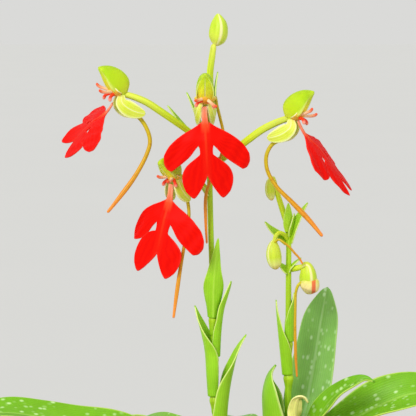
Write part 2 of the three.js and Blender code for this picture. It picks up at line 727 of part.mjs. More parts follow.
function clearOfStalk(bud, { path, radii }) {
  const [before, end] = path.slice(-2).map(vector);
  const beyond = end.clone().addScaledVector(end.clone().sub(before).normalize(), 1.5 * GAP);
  const room = radii.map(radius => radius + 1.6 * GAP);
  return cutBy(budBody(bud), [limb([...path, beyond.toArray()], room, { rows: 6, sides: 7 })]);
}

// Sheath leaves up the stems, from the top downwards

const SHEATHS = {
  main_1: {
    spine: [
      [-12.75, -7.75, 146.2], [-12.7, -8.2, 151], [-12.6, -8.7, 157], [-12.2, -8.9, 163],
      [-11.6, -9, 168.8],
      [-10.9, -9, 174.6],
    ],
    face: [[0, 1, 0]],
    half: [3.9, 4.4, 3.9, 2.4, 1.3, 0.5],
    curl: [0.57, 0.34, 0.14, 0.16, 0.2],
    wave: 0.4,
  },
  main_2: {
    spine: [
      [-10.5, -6.1, 132.4], [-10.3, -6.1, 138], [-9.9, -6.3, 143.6], [-9.1, -6.7, 149.4],
      [-7.7, -7.1, 154.6],
      [-6.5, -7.4, 159.4],
    ],
    face: [[-1, 0, 0], [-1, 0, 0], [-1, 0, 0], [-0.9, 0.3, 0.2], [-0.8, 0.5, 0.4]],
    half: [4.4, 3.9, 3.6, 3.1, 1.9, 0.5],
    curl: [0.52, 0.5, 0.42, 0.3, 0.26],
    wave: 0.1,
  },
  main_3: {
    spine: [
      [-14.3, -6, 118.4], [-14.9, -6, 127], [-15.35, -6.1, 134], [-16.8, -6.6, 142], [-19, -7, 150.8],
    ],
    face: [[1, 0, 0], [1, 0, 0], [1, 0, 0], [0.95, -0.3, 0], [0.9, -0.4, 0.2]],
    half: [4.6, 5.8, 5.5, 3.1, 0.5],
    curl: [0.45, 0.38, 0.34, 0.27, 0.22],
    wave: 0.1,
  },
  main_4: {
    spine: [
      [-8.4, -6, 92], [-8.2, -6.1, 104], [-7.9, -6.3, 113], [-7, -6.6, 121.5], [-5.6, -7, 129],
      [-3.9, -7.6, 135.6], [-1.1, -8.5, 141],
    ],
    face: [[-1, 0.1, 0], [-1, 0.1, 0], [-1, 0.1, 0.1], [-0.9, -0.1, 0.4], [-0.7, -0.4, 0.6]],
    half: [6.6, 7.4, 7.4, 7.0, 5.6, 3.2, 0.5],
    curl: [0.28, 0.27, 0.27, 0.25, 0.2],
    wave: 0.4,
  },
  second_1: {
    spine: [[15.8, 6, 136], [15.75, 6, 142], [15.75, 5.9, 148], [15.9, 5.7, 153.6]],
    face: [[-1, 0, 0]],
    half: [4.2, 4.2, 2.6, 0.5],
    curl: [0.56, 0.56, 0.5],
    wave: 0.1,
  },
  second_2: {
    spine: [[12.2, 5.3, 124], [11.5, 5, 131], [10.8, 4.8, 138], [10.1, 4.8, 145], [9.7, 4.8, 151.2]],
    face: [[0.9, 0.4, 0], [0.9, 0.3, 0], [0.9, 0, 0]],
    half: [4.2, 4.6, 3.4, 1.7, 0.5],
    curl: [0.48, 0.36, 0.28, 0.2],
    wave: 0.15,
  },
};

// Basal leaves, from the inside of each tuft outwards

const BASAL_LEAVES = {
  a: {
    spine: [[7.6, 5.6, 92], [6, 5.2, 101], [5.4, 5, 110], [5.3, 5, 118], [7, 5.6, 124], [10, 6.8, 127.4]],
    face: [[1, -0.1, 0.1], [1, -0.1, 0], [1, -0.1, 0], [0.8, -0.1, -0.5]],
    half: [5.0, 8.6, 10.5, 10.5, 8.0, 0.6],
    curl: [0.24, 0.19, 0.175, 0.17],
    wave: 0.3,
    columns: 6,
  },
  b: {
    spine: [
      [16.4, 1.2, 98], [16.3, 0.9, 107], [16.4, 0.7, 113.6], [17.6, 0.5, 116.9], [19.6, 0.3, 116.9],
      [21.2, 0.1, 115],
    ],
    face: [[-0.4, 1, 0], [-0.4, 1, 0.1], [-0.9, 0.2, 0.4], [0, 0.3, 1], [0.4, 0.3, 0.9]],
    half: [2.2, 2.8, 3.2, 3.2, 2.4, 0.5],
    curl: [0.2, 0.2, 0.12, 0.08],
    color: PALE_LEAF,
  },
  c: {
    spine: [
      [14.8, 10.6, 94], [16.6, 12, 101], [19.8, 14.2, 108], [22.6, 17, 120], [24.9, 20, 132.4],
      [26.4, 21.5, 141.5],
      [27.8, 22.5, 149], [28.8, 23, 153.6],
    ],
    face: [[-0.1, -1, 0], [-0.2, -1, 0.2], [-0.3, -0.9, 0.3], [-0.2, -1, 0.2]],
    half: [2.6, 4.6, 7.6, 8.6, 7.7, 6.6, 5.4, 2.2],
    curl: [0.26, 0.1, 0.06, 0.05, 0.05],
    wave: 0.5,
  },
  d: {
    spine: [
      [18.3, 5.4, 92.6], [20, 5.2, 98], [22.8, 4.4, 104.4], [26.2, 2.6, 111.6], [30.4, 0.8, 117.4],
      [35.4, -1.8, 121.8], [40.6, -3.6, 124.4], [44.3, -4.6, 123.4],
    ],
    face: [[-1, 0.1, 0], [-0.8, -0.2, 0.5], [-0.5, -0.5, 0.8], [-0.1, -0.6, 0.9], [0.4, -0.6, 0.8]],
    half: [2.6, 3.2, 4.0, 4.6, 4.8, 4.2, 2.6, 0.6],
    curl: [0.26, 0.2, 0.12, 0.06],
    keel: [0, 0.08, 0.12, 0.1],
    wave: 0.4,
  },
  e: {
    spine: [
      [19, 9, 91.4], [22, 9.6, 96], [29.6, 10, 102.4], [40, 9.4, 108.6], [50, 8.8, 113.8], [60, 8, 117],
      [71, 7, 115.6], [80, 6, 108.6], [84.6, 5.4, 101.6],
    ],
    face: [
      [-0.9, -0.3, 0.2], [-0.5, -0.5, 0.7], [-0.3, -0.6, 0.8], [-0.1, -0.6, 0.8], [0.4, -0.5, 0.8],
      [0.8, -0.4, 0.5],
    ],
    half: [2.6, 4.0, 6.8, 8.8, 9.4, 8.8, 7.2, 4.4, 0.8],
    curl: [0.2, 0.12, 0.05, 0.03],
    keel: [0, 0.1, 0.12, 0.1],
    wave: 0.7,
  },
  f: {
    spine: [
      [-16.6, -6, 91.4], [-19, -6.2, 95.6], [-28, -7, 101], [-42, -8.6, 105], [-57, -10, 107.8],
      [-72, -11, 111.6],
      [-88, -12, 113.4], [-101, -12.6, 108.8], [-109, -13, 101],
    ],
    face: [
      [0.9, -0.2, 0.2], [0.4, -0.2, 0.8], [0.1, -0.2, 0.9], [0, -0.2, 1], [-0.4, -0.2, 0.9],
      [-0.8, -0.2, 0.5],
    ],
    half: [2.6, 4.0, 6.8, 8.8, 9.6, 9.6, 8.4, 5.4, 0.8],
    curl: [0.2, 0.12, 0.05, 0.03],
    keel: [0, 0.1, 0.12, 0.1],
    wave: 0.7,
  },
  g: {
    spine: [
      [-12.8, 0.6, 91.4], [-14, 2.6, 95], [-19.2, 10.6, 99], [-28, 26, 101], [-37, 42, 101], [-45, 56, 96],
      [-50, 66, 87],
    ],
    face: [
      [-0.2, -0.9, 0.2], [0.3, -0.5, 0.8], [0.2, -0.3, 0.9], [0, 0, 1], [-0.2, 0.4, 0.9],
      [-0.5, 0.7, 0.5],
    ],
    half: [2.6, 3.8, 6.0, 7.2, 7.2, 5.0, 0.8],
    curl: [0.2, 0.1, 0.04],
    keel: [0, 0.08, 0.1, 0.1],
    wave: 0.5,
  },
  h: {
    spine: [
      [-11.2, -11, 91.4], [-10.6, -13.4, 96], [-7.6, -22, 101.4], [-2, -37, 104], [4, -51, 102.4],
      [9, -63, 95],
      [12, -71, 85],
    ],
    face: [
      [-0.2, 0.9, 0.2], [0, 0.5, 0.8], [-0.1, 0.2, 0.9], [0, 0, 1], [0.2, -0.4, 0.9], [0.3, -0.8, 0.5],
    ],
    half: [2.6, 3.8, 6.2, 7.8, 7.8, 5.4, 0.8],
    curl: [0.2, 0.1, 0.04],
    keel: [0, 0.1, 0.12, 0.1],
    wave: 0.6,
  },
  j: {
    spine: [
      [8.6, 11.8, 92], [7.4, 13.8, 95.2], [3.8, 20.6, 98.4], [0, 32, 100.4], [-3, 46, 101],
      [-5.2, 57.5, 98.6],
      [-6.4, 66, 91],
    ],
    face: [
      [0.8, -0.5, 0.2], [0.4, -0.4, 0.8], [0.1, -0.2, 0.9], [0, 0, 1], [0, 0.5, 0.9], [-0.1, 0.8, 0.5],
    ],
    half: [2.4, 3.4, 5.2, 6.2, 6.2, 4.4, 0.8],
    curl: [0.2, 0.08, 0.03],
    keel: [0, 0.06, 0.04],
    wave: 0.2,
  },
};

// The whole plant

const plant = new THREE.Group();

function addPiece(name, geometry, color, roughness = 0.5) {
  const material = new THREE.MeshStandardMaterial({ color, roughness, metalness: 0 });
  const mesh = new THREE.Mesh(geometry, material);
  mesh.name = name;
  plant.add(mesh);
}

addPiece('pot', makePot(), TERRACOTTA, 0.85);
addPiece('potting_mix', makeSoil(), BARK_MIX, 0.95);
addPiece('stem_main', makeMainStem(), STEM_GREEN);
addPiece('stem_second', makeSecondStem(), STEM_GREEN);

for (const [name, shape] of Object.entries(SHEATHS)) {
  const leaf = blade({ thickness: SHEATH_THICK, rows: 8, columns: 6, ...shape });
  addPiece(`sheath_${name}`, leaf, SHEATH_GREEN);
}

for (const [name, { color = LEAF_GREEN, ...shape }] of Object.entries(BASAL_LEAVES)) {
  addPiece(`leaf_${name}`, blade({ rows: 11, columns: 4, waves: 2.5, ...shape }), color);
}

for (const [name, flower] of Object.entries(FLOWERS)) {
  const to = flowerAxes(flower);
  addPiece(`flower_${name}_sepals`, sepals(to, flower.sideSepals), SEPAL_GREEN);
  addPiece(`flower_${name}_column`, column(to), COLUMN_PINK);
  addPiece(`flower_${name}_lip`, lip(flower.lip), LIP_RED, 0.4);
  addPiece(`flower_${name}_spur`, limb(flower.spur, flower.spurRadii, { rows: 16, sides: 6 }), SPUR_OCHRE);
}

addPiece('bud_top', clearOfStalk(TOP_BUD, TOP_STALK), BUD_GREEN);
SECOND_BUDS.forEach((bud, i) => {
  addPiece(`bud_second_${i + 1}`, clearOfStalk(bud, SECOND_STALKS[i]), BUD_GREEN);
});
addPiece('bud_second_3_cap', clearOfStalk(BUD_CAP, SECOND_STALKS[2]), BUD_GREEN);
addPiece('bud_second_3_belly', budBody(BUD_BELLY, 5), BUD_YELLOW);
for (const [name, { path, radii }] of Object.entries(BUD_SPURS)) {
  addPiece(`bud_${name}_spur`, limb(path, radii, { rows: 12, sides: 6 }), SPUR_OCHRE);
}

export default plant;
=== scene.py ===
"""A potted orchid, Habenaria rhodocheila, finished around its solids.

Each piece keeps the place and the size of its solid and adds the fine form and the skin of the real plant.
Shapes are given in millimetres and written in metres, +Z up, and -Y is the front of the plant."""

import bisect
import functools
import math
import random

import bpy
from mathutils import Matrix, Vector


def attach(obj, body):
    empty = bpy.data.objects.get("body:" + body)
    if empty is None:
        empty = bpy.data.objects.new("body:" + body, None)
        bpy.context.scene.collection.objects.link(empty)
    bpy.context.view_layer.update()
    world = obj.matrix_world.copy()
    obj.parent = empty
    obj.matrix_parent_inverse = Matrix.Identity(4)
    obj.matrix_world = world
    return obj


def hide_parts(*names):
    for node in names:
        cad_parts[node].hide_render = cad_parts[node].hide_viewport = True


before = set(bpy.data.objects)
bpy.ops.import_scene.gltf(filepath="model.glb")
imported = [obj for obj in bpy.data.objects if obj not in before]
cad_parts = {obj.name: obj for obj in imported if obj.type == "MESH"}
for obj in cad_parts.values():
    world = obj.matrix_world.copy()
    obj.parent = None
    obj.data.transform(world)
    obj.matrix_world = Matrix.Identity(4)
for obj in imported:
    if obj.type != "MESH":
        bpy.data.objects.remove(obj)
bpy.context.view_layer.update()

MM = 0.001
TURN = 2 * math.pi

# The camera looks 5 degrees down at the flowers, and its picture is 145.6 mm wide there

CAMERA_TARGET = (-14.5, 0, 184)
CAMERA_DISTANCE = 760
CAMERA_ELEVATION = 5
VIEW_WIDTH = 145.6
STUDIO_WHITE = "#DADAD8"

# Pot and filling, in millimetres

POT_HEIGHT = 98
POT_RIM_RADIUS = 55
POT_BODY_RADIUS = 51.5
POT_FOOT_RADIUS = 36
POT_WALL = 5
POT_FLOOR = 6
RIM_BAND = 22
DRAIN_RADIUS = 3.5
DRAIN_RING = 20
DRAIN_COUNT = 4
SOIL_TOP = 88
STEM_FOOT = 62
STEM_PLACES = ((-11.6, -6), (14, 6))

# The filling's gap to the wall, and how far below the rim the wall's slope ends

WALL_GAP = 0.3
MOUTH_DROP = 1.2

# Loose crumb: how far out it lies, how uneven its pieces are and how rough the mix is

CHIP_REACH = 43.5
CHIP_LIMIT = 45
CHIP_ROUGHNESS = 0.28
CRUMB_RISE = 0.35

# Thicknesses of leaf and petal, the groove and veins of a leaf and how deep it roots

LEAF_THICK = 0.7
SHEATH_THICK = 0.45
PETAL_THICK = 0.45
LIP_THICK = 0.55
LEAF_ROOTING = 2.5
GROOVE_HALF = 0.55
VEIN_GAP = 0.8

# The hood, the petals that close it, and the lip

HOOD_REACH_DEGREES = 104
PETAL_START = 0.08
LIP_LENGTH = 32.6
CLAW_LENGTH = 5
SIDE_LOBE_REACH = 14
MIDDLE_LOBE_REACH = 9
LIP_STRIP_HALF = 1.2
LIP_RUFFLE = 0.3
LIP_FRILL = 0.05
LIP_MIDRIB = 0.25
LIP_ARCH = 0.9

# Forms, as in the solids

HOOD_CREST = [[-2.0, 0.5], [-2.9, 3.4], [-2.2, 5.8], [0.2, 8.1], [3.4, 9.4], [6.0, 9.5], [7.9, 9.1]]
HOOD_EDGE = [[-0.6, 0.1], [0.8, 0.8], [2.2, 1.8], [3.6, 3.2], [5.0, 5.0], [6.3, 7.0], [7.9, 8.95]]
HOOD_HALF = [1.5, 2.2, 2.7, 2.9, 2.7, 1.8, 0.12]
UPPER_ARMS = [
    [[2.2, 0.5, 1.0], [4.2, 1.1, 1.6], [6.0, 1.7, 2.1], [7.4, 2.1, 2.8], [8.0, 2.4, 3.7]],
    [[2.2, 0.5, 0.8], [4.3, 1.2, 0.8], [6.2, 2.0, 0.7], [7.6, 2.5, 1.0], [8.4, 2.8, 1.6]],
]
LOWER_ARMS = [
    [[2.2, 0.5, 0.2], [3.6, 1.5, 0.1], [4.9, 2.6, -0.6], [5.3, 3.3, -1.9]],
    [[2.2, 0.5, 0.1], [3.4, 1.6, -0.3], [4.4, 2.7, -1.1], [4.7, 3.2, -2.5]],
]
UPPER_ARM_RADII = [0.75, 0.62, 0.54, 0.58, 0.5]
LOWER_ARM_RADII = [0.68, 0.6, 0.58, 0.72]
COLUMN_CORE = [[0.9, 0, -0.2], [2.2, 0, 0.5], [3.5, 0, 1.3], [4.5, 0, 1.9]]
POLLEN_SAC = [[2.1, 0.5, 0.8], [3.3, 0.7, 2.0], [4.6, 0.6, 2.7]]
NECK = [[-2.0, 0, 0.1], [-0.5, 0, 0], [1.6, 0, -0.1]]
SIDE_SEPAL_SPINE = [
    [0.2, 1.5, -0.3], [0.3, 2.4, -2.9], [-2.2, 3.0, -5.1], [-5.2, 3.2, -6.3], [-8.0, 3.1, -6.8],
]
SIDE_SEPAL_FACE = [[0.2, 1, 0.3], [0, 1, 0.1], [0, 1, 0], [0, 1, 0]]
COLLAR_RISES = [-7, -4, -1.5, 1]
LIP_STRIP = [
    [0, 1.0], [2, 1.05], [4, 1.1], [5.4, 1.2], [7.6, 1.5], [9.8, 1.8], [12, 2.2], [13.8, 2.6], [15.4, 2.35],
    [17, 2.35],
]
SIDE_LOBE_ROOT = [3, 7]
SIDE_LOBE_UPPER = [[3.8, 7.2], [7.2, 9.0], [10.5, 11.2], [13.4, 13.9], [15.2, 17.0]]
SIDE_LOBE_LOWER = [[4.2, 15.6], [5.8, 17.6], [8.2, 19.6], [10.6, 21.3], [12.6, 22.7]]
SIDE_LOBE_END = [[15.2, 17.0], [15.4, 19.4], [14.9, 21.0], [14.0, 22.2], [12.6, 22.7]]
MIDDLE_LOBE_OUTER = [[4.0, 18.3], [6.2, 19.9], [8.1, 21.9], [9.1, 24.6], [8.9, 27.6], [7.9, 30.2]]
MIDDLE_LOBE_INNER = [[0, 19.4], [0, 22], [0, 24.6], [0.7, 26.4], [1.9, 28.6], [3.2, 30.6]]
MIDDLE_LOBE_END = [[3.2, 30.6], [4.9, 32.6], [6.3, 32.0], [7.9, 30.2]]
SIDE_LOBE_GROWTH = [0.3, 1, 1, 0.6, 0]
MIDDLE_LOBE_GROWTH = [0.4, 0.4, 0.2, 0, 0, 0]
FLOWERS = {
    "left": {
        "at": [-44.3, -14, 224.4], "azimuth": 197,
        "lip": {
            "top": [-47.0, -15.3, 221.2], "down": [-0.63, 0.51, -0.59], "side": [-0.02, -0.915, -0.394],
            "size": 0.91, "spread": 3.3, "lift": 4.6, "droop": 0.8, "cup": 4.5, "full": [2.6, 2.6],
        },
        "spur": [
            [-44.6, -14.2, 220.6], [-42.2, -13, 218.2], [-38.6, -12.5, 216.6], [-35.8, -12.6, 213],
            [-34.4, -12.8, 208.2], [-35.4, -13.2, 204], [-39.4, -14.4, 196.4], [-45, -15.6, 188.8],
            [-49, -16, 183.8],
        ],
        "spur_radii": [0.8, 0.72, 0.72, 0.75, 0.85, 0.5],
    },
    "centre": {
        "at": [-15.5, -16, 222], "azimuth": 270, "side_sepals": [{"turn": 0.9}, {"turn": 0.9}],
        "arms": {"drop": 3.2, "spread": 1.2},
        "lip": {
            "top": [-15.8, -19.2, 220.3], "down": [0.05, -0.06, -1], "side": [1, 0, 0.04], "size": 0.96,
            "spread": 2.4,
        },
        "spur": [
            [-15.2, -16.9, 219], [-14.4, -14.2, 217.6], [-14.05, -11.8, 218.2], [-13, -9.6, 220.9],
            [-12.1, -8.6, 223.6], [-11.4, -9.0, 220.2], [-10.3, -9.4, 215.8], [-9.2, -10, 210.6],
            [-9.6, -11, 204.4], [-12.4, -11.4, 197.4], [-15.1, -10.4, 190], [-15.3, -9.4, 181],
            [-14.9, -8.9, 172.4],
        ],
        "spur_radii": [0.7, 0.58, 0.56, 0.56, 0.6, 0.62, 0.4],
    },
    "lower": {
        "at": [-25.3, -10.0, 195.8], "azimuth": 228, "pitch": -20, "size": 0.88,
        "side_sepals": [{"hang": 44}, {"hang": 40, "spread": 1.8}],
        "lip": {
            "top": [-27.1, -12.2, 193.3], "down": [-0.185, -0.08, -0.98], "side": [0.87, -0.45, -0.2],
            "size": 1, "lift": 1, "sway": -2, "narrow": 0.32, "taper": [-0.25, 0], "full": [1.8, 0.3],
        },
        "spur": [
            [-25.2, -10.3, 192.4], [-24.3, -8.9, 190.6], [-23.2, -7.6, 189.6], [-22.1, -7, 188.4],
            [-21.4, -7.2, 186], [-21.1, -8, 182], [-21.9, -9.6, 176.2], [-23, -11.1, 170.2],
            [-24.4, -12.7, 161.8], [-25.7, -13.7, 152.6], [-26.4, -14.2, 147.1],
        ],
        "spur_radii": [0.7, 0.6, 0.6, 0.62, 0.72, 0.45],
    },
    "right": {
        "at": [14.1, -14, 216.1], "azimuth": 343,
        "lip": {
            "top": [16.2, -15.2, 215.3], "down": [0.595, 0.088, -0.8], "side": [0.184, 0.953, 0.242],
            "size": 0.97, "spread": 2.4, "lift": 0.7, "droop": 0.2, "taper": [0.6, 0.28],
            "full": [2.2, 2.2],
        },
        "spur": [
            [13.9, -14.2, 212.4], [11.3, -13.2, 209.2], [7.6, -12.8, 207.1], [5.6, -12.9, 203.4],
            [5.8, -13.2, 198.4], [8.8, -13.8, 192.9], [14.3, -14.8, 187.3], [20.1, -15.6, 181.3],
            [24.8, -16, 175.6],
        ],
        "spur_radii": [0.8, 0.72, 0.72, 0.78, 0.95, 0.6],
    },
}
STEMS = {
    "main": {
        "points": [
            [-11.6, -6, STEM_FOOT], [-11.6, -6, 90], [-11.8, -6, 111], [-12.4, -6, 132], [-12.7, -6, 146],
            [-13.1, -6, 164], [-13.6, -6, 180], [-13.9, -6, 198], [-13.6, -6, 214], [-13.2, -6, 224],
        ],
        "radii": [1.7, 1.7, 1.5, 1.1, 1.05, 1.05, 1.0, 1.0, 0.95, 0.9], "rows": 70,
    },
    "second": {
        "points": [
            [14, 6, STEM_FOOT], [14, 6, 92], [14, 6, 120], [14, 6, 134], [14, 6, 148], [14, 6, 162],
            [14, 6, 172], [13.5, 6, 179],
        ],
        "radii": [1.8, 1.8, 1.4, 1.2, 1.1, 1.05, 1.0, 0.9], "rows": 60,
    },
}
MAIN_STALKS = [
    [
        [-14.6, -6, 204.6], [-20.6, -8.4, 210.8], [-25.8, -10.4, 214.8], [-31, -12, 218.5],
        [-36.1, -13, 221.8], [-41.9, -13.6, 224],
    ],
    [
        [-13.6, -6, 199.6], [-7.5, -8.6, 203.2], [-1.6, -10.8, 207.8], [4.6, -12.6, 212.4],
        [11.8, -13.7, 215.7],
    ],
    [[-13.8, -6, 207.6], [-14.6, -8.6, 214.2], [-15.9, -11.8, 219.4], [-15.7, -13.8, 221.5]],
    [[-14.2, -6, 190.2], [-17.6, -6.2, 193.8], [-20.8, -7, 195.5], [-23.6, -8.6, 195.5]],
]
LONG_STALK_RADII = [1.05, 1.15, 1.3, 1.3, 1.1]
STALK_RADII = [LONG_STALK_RADII, LONG_STALK_RADII, [1, 0.95, 0.9], [0.9, 1, 1.1, 1, 0.9]]
TOP_STALK = {
    "points": [[-13.2, -6, 222], [-13.8, -6.6, 231], [-13, -7, 237.6], [-12.5, -7.2, 241.4]],
    "radii": [0.95, 1.15, 1.2, 1.05],
}
MAIN_BRACTS = [
    {
        "spine": [
            [-15, -6, 203], [-19, -7, 208], [-22.8, -8, 212.8], [-26.2, -9, 217.4], [-28.6, -9.6, 220.6],
        ],
        "face": [[0.4, -0.4, 0.8]],
    },
    {
        "spine": [[-14.6, -6, 206.6], [-17.6, -5.6, 214], [-19.9, -5.6, 220.2], [-21.9, -6, 225]],
        "face": [[0.9, -0.3, 0.2]],
    },
    {
        "spine": [[-13, -5.8, 214.8], [-12, -5.2, 220], [-11.9, -5, 226], [-11.2, -5, 232]],
        "face": [[-1, -0.2, 0.1]],
    },
    {
        "spine": [[-13.2, -6, 197.8], [-10, -6.4, 200.2], [-6.4, -7.4, 203.2], [-2.6, -8.4, 208]],
        "face": [[-0.5, 0.1, 0.9]],
    },
    {
        "spine": [[-14.6, -6, 188.4], [-17, -6, 192], [-19.6, -5.6, 195.8], [-21.6, -5, 199.2]],
        "face": [[0.5, 0.2, 0.8]],
    },
]
SECOND_STALKS = [
    {
        "points": [[13.5, 6, 177.6], [11.4, 5.6, 184], [9.6, 5.2, 189.8], [8.4, 5, 194], [7.7, 4.8, 194.8]],
        "radii": [1.1, 1.05, 0.9, 0.8],
    },
    {
        "points": [[13.8, 6, 172], [12.3, 4.4, 174.2], [10.5, 3.2, 174.9], [9.4, 2.8, 174]],
        "radii": [0.9, 0.8, 0.7],
    },
    {"points": [[14.1, 6, 161.6], [16.2, 4.4, 162.2], [18, 3.5, 162.7]], "radii": [1.1, 1.1, 0.9]},
]
BROAD_BRACT = [1.5, 2.5, 2.1, 1.2, 0.4]
SECOND_BRACTS = [
    {
        "spine": [[13, 6, 170.8], [9.8, 5, 174], [7.3, 4.5, 176.6], [5.5, 4.2, 179]],
        "face": [[0.5, -0.6, 0.6]], "half": BROAD_BRACT,
    },
    {
        "spine": [[14.6, 5.8, 171], [16.2, 5.2, 177], [18.2, 4.8, 181.6], [20.7, 4.6, 185.8]],
        "face": [[-0.7, -0.6, 0.3]], "half": BROAD_BRACT,
    },
    {
        "spine": [[13.8, 4.9, 175], [13.8, 4.3, 179], [13.8, 4.2, 182], [13.7, 4.2, 185.6]],
        "face": [[-0.2, 0.9, 0]],
    },
    {
        "spine": [[14.6, 5.8, 173.4], [15.3, 5, 177], [15.6, 4.8, 179.4], [15.8, 4.8, 181.8]],
        "face": [[-0.8, 0.3, 0.1]],
    },
    {
        "spine": [[14.3, 5.4, 160.8], [15.8, 4.6, 163.4], [17.2, 4.2, 165], [18.4, 4, 166.2]],
        "face": [[-0.4, -0.2, 0.8]],
    },
    {
        "spine": [[13.6, 5.6, 160.6], [12.3, 4.8, 162], [11.4, 4.4, 163.2], [10.8, 4.2, 164.6]],
        "face": [[0.5, -0.5, 0.4]],
    },
]
TOP_BUD = {
    "points": [[-11.9, -6.4, 240.6], [-11.1, -6.2, 243.4], [-10.7, -6, 247.2], [-11.1, -6, 251.8]],
    "radii": [1.6, 3.1, 3.3, 2.6, 0.8],
}
SECOND_BUDS = [
    {
        "points": [[7.5, 4.8, 194.2], [7.2, 4.7, 192.6], [7.3, 4.6, 189.6], [8, 4.5, 186.2]],
        "radii": [0.9, 1.5, 1.75, 1.6, 0.8],
    },
    {
        "points": [[8.8, 2.6, 172.7], [8.5, 2.5, 170.6], [8.6, 2.4, 166.8], [9.5, 2.4, 162]],
        "radii": [0.9, 2.2, 2.75, 2.5, 1.5],
    },
]
BUD_CAP = {
    "points": [
        [18.6, 3, 162.7], [20.1, 2.8, 163.4], [20.7, 2.6, 161.4], [20.9, 2.6, 158.2], [21, 2.6, 155.6],
    ],
    "radii": [0.9, 2.2, 3, 3.1, 1.6],
}
BUD_BELLY = {
    "points": [[21.2, 2.4, 160.4], [21.3, 2.4, 158.4], [21.1, 2.4, 155.6], [20.4, 2.5, 153.3]],
    "radii": [2.2, 3.3, 3.4, 2.0],
}
BUD_SPURS = {
    "second_2": {
        "points": [
            [8.7, 2.0, 171.4], [10.4, -0.2, 172.9], [12.1, -0.9, 171.9], [14, -1, 170.4],
            [15.7, -0.9, 168.4], [17.5, -0.6, 166.4], [18.7, -0.4, 164.3],
        ],
        "radii": [0.42, 0.42, 0.42, 0.36],
    },
    "second_3": {
        "points": [
            [19.6, 2.0, 158.2], [17.4, 1.2, 157], [16.4, 1.3, 154.2], [16.3, 1.6, 150], [16.2, 1.6, 142],
            [16.4, 1.4, 132], [16.9, 1.2, 124],
        ],
        "radii": [0.6, 0.5, 0.52, 0.58, 0.36],
    },
}
SHEATHS = {
    "main_1": {
        "spine": [
            [-12.75, -7.75, 146.2], [-12.7, -8.2, 151], [-12.6, -8.7, 157], [-12.2, -8.9, 163],
            [-11.6, -9, 168.8], [-10.9, -9, 174.6],
        ],
        "face": [[0, 1, 0]], "half": [3.9, 4.4, 3.9, 2.4, 1.3, 0.5], "curl": [0.57, 0.34, 0.14, 0.16, 0.2],
        "wave": 0.4,
    },
    "main_2": {
        "spine": [
            [-10.5, -6.1, 132.4], [-10.3, -6.1, 138], [-9.9, -6.3, 143.6], [-9.1, -6.7, 149.4],
            [-7.7, -7.1, 154.6], [-6.5, -7.4, 159.4],
        ],
        "face": [[-1, 0, 0], [-1, 0, 0], [-1, 0, 0], [-0.9, 0.3, 0.2], [-0.8, 0.5, 0.4]],
        "half": [4.4, 3.9, 3.6, 3.1, 1.9, 0.5], "curl": [0.52, 0.5, 0.42, 0.3, 0.26], "wave": 0.1,
    },
    "main_3": {
        "spine": [
            [-14.3, -6, 118.4], [-14.9, -6, 127], [-15.35, -6.1, 134], [-16.8, -6.6, 142], [-19, -7, 150.8],
        ],
        "face": [[1, 0, 0], [1, 0, 0], [1, 0, 0], [0.95, -0.3, 0], [0.9, -0.4, 0.2]],
        "half": [4.6, 5.8, 5.5, 3.1, 0.5], "curl": [0.45, 0.38, 0.34, 0.27, 0.22], "wave": 0.1,
    },
    "main_4": {
        "spine": [
            [-8.4, -6, 92], [-8.2, -6.1, 104], [-7.9, -6.3, 113], [-7, -6.6, 121.5], [-5.6, -7, 129],
            [-3.9, -7.6, 135.6], [-1.1, -8.5, 141],
        ],
        "face": [[-1, 0.1, 0], [-1, 0.1, 0], [-1, 0.1, 0.1], [-0.9, -0.1, 0.4], [-0.7, -0.4, 0.6]],
        "half": [6.6, 7.4, 7.4, 7.0, 5.6, 3.2, 0.5], "curl": [0.28, 0.27, 0.27, 0.25, 0.2], "wave": 0.4,
    },
    "second_1": {
        "spine": [[15.8, 6, 136], [15.75, 6, 142], [15.75, 5.9, 148], [15.9, 5.7, 153.6]],
        "face": [[-1, 0, 0]], "half": [4.2, 4.2, 2.6, 0.5], "curl": [0.56, 0.56, 0.5], "wave": 0.1,
    },
    "second_2": {
        "spine": [[12.2, 5.3, 124], [11.5, 5, 131], [10.8, 4.8, 138], [10.1, 4.8, 145], [9.7, 4.8, 151.2]],
        "face": [[0.9, 0.4, 0], [0.9, 0.3, 0], [0.9, 0, 0]], "half": [4.2, 4.6, 3.4, 1.7, 0.5],
        "curl": [0.48, 0.36, 0.28, 0.2], "wave": 0.15,
    },
}
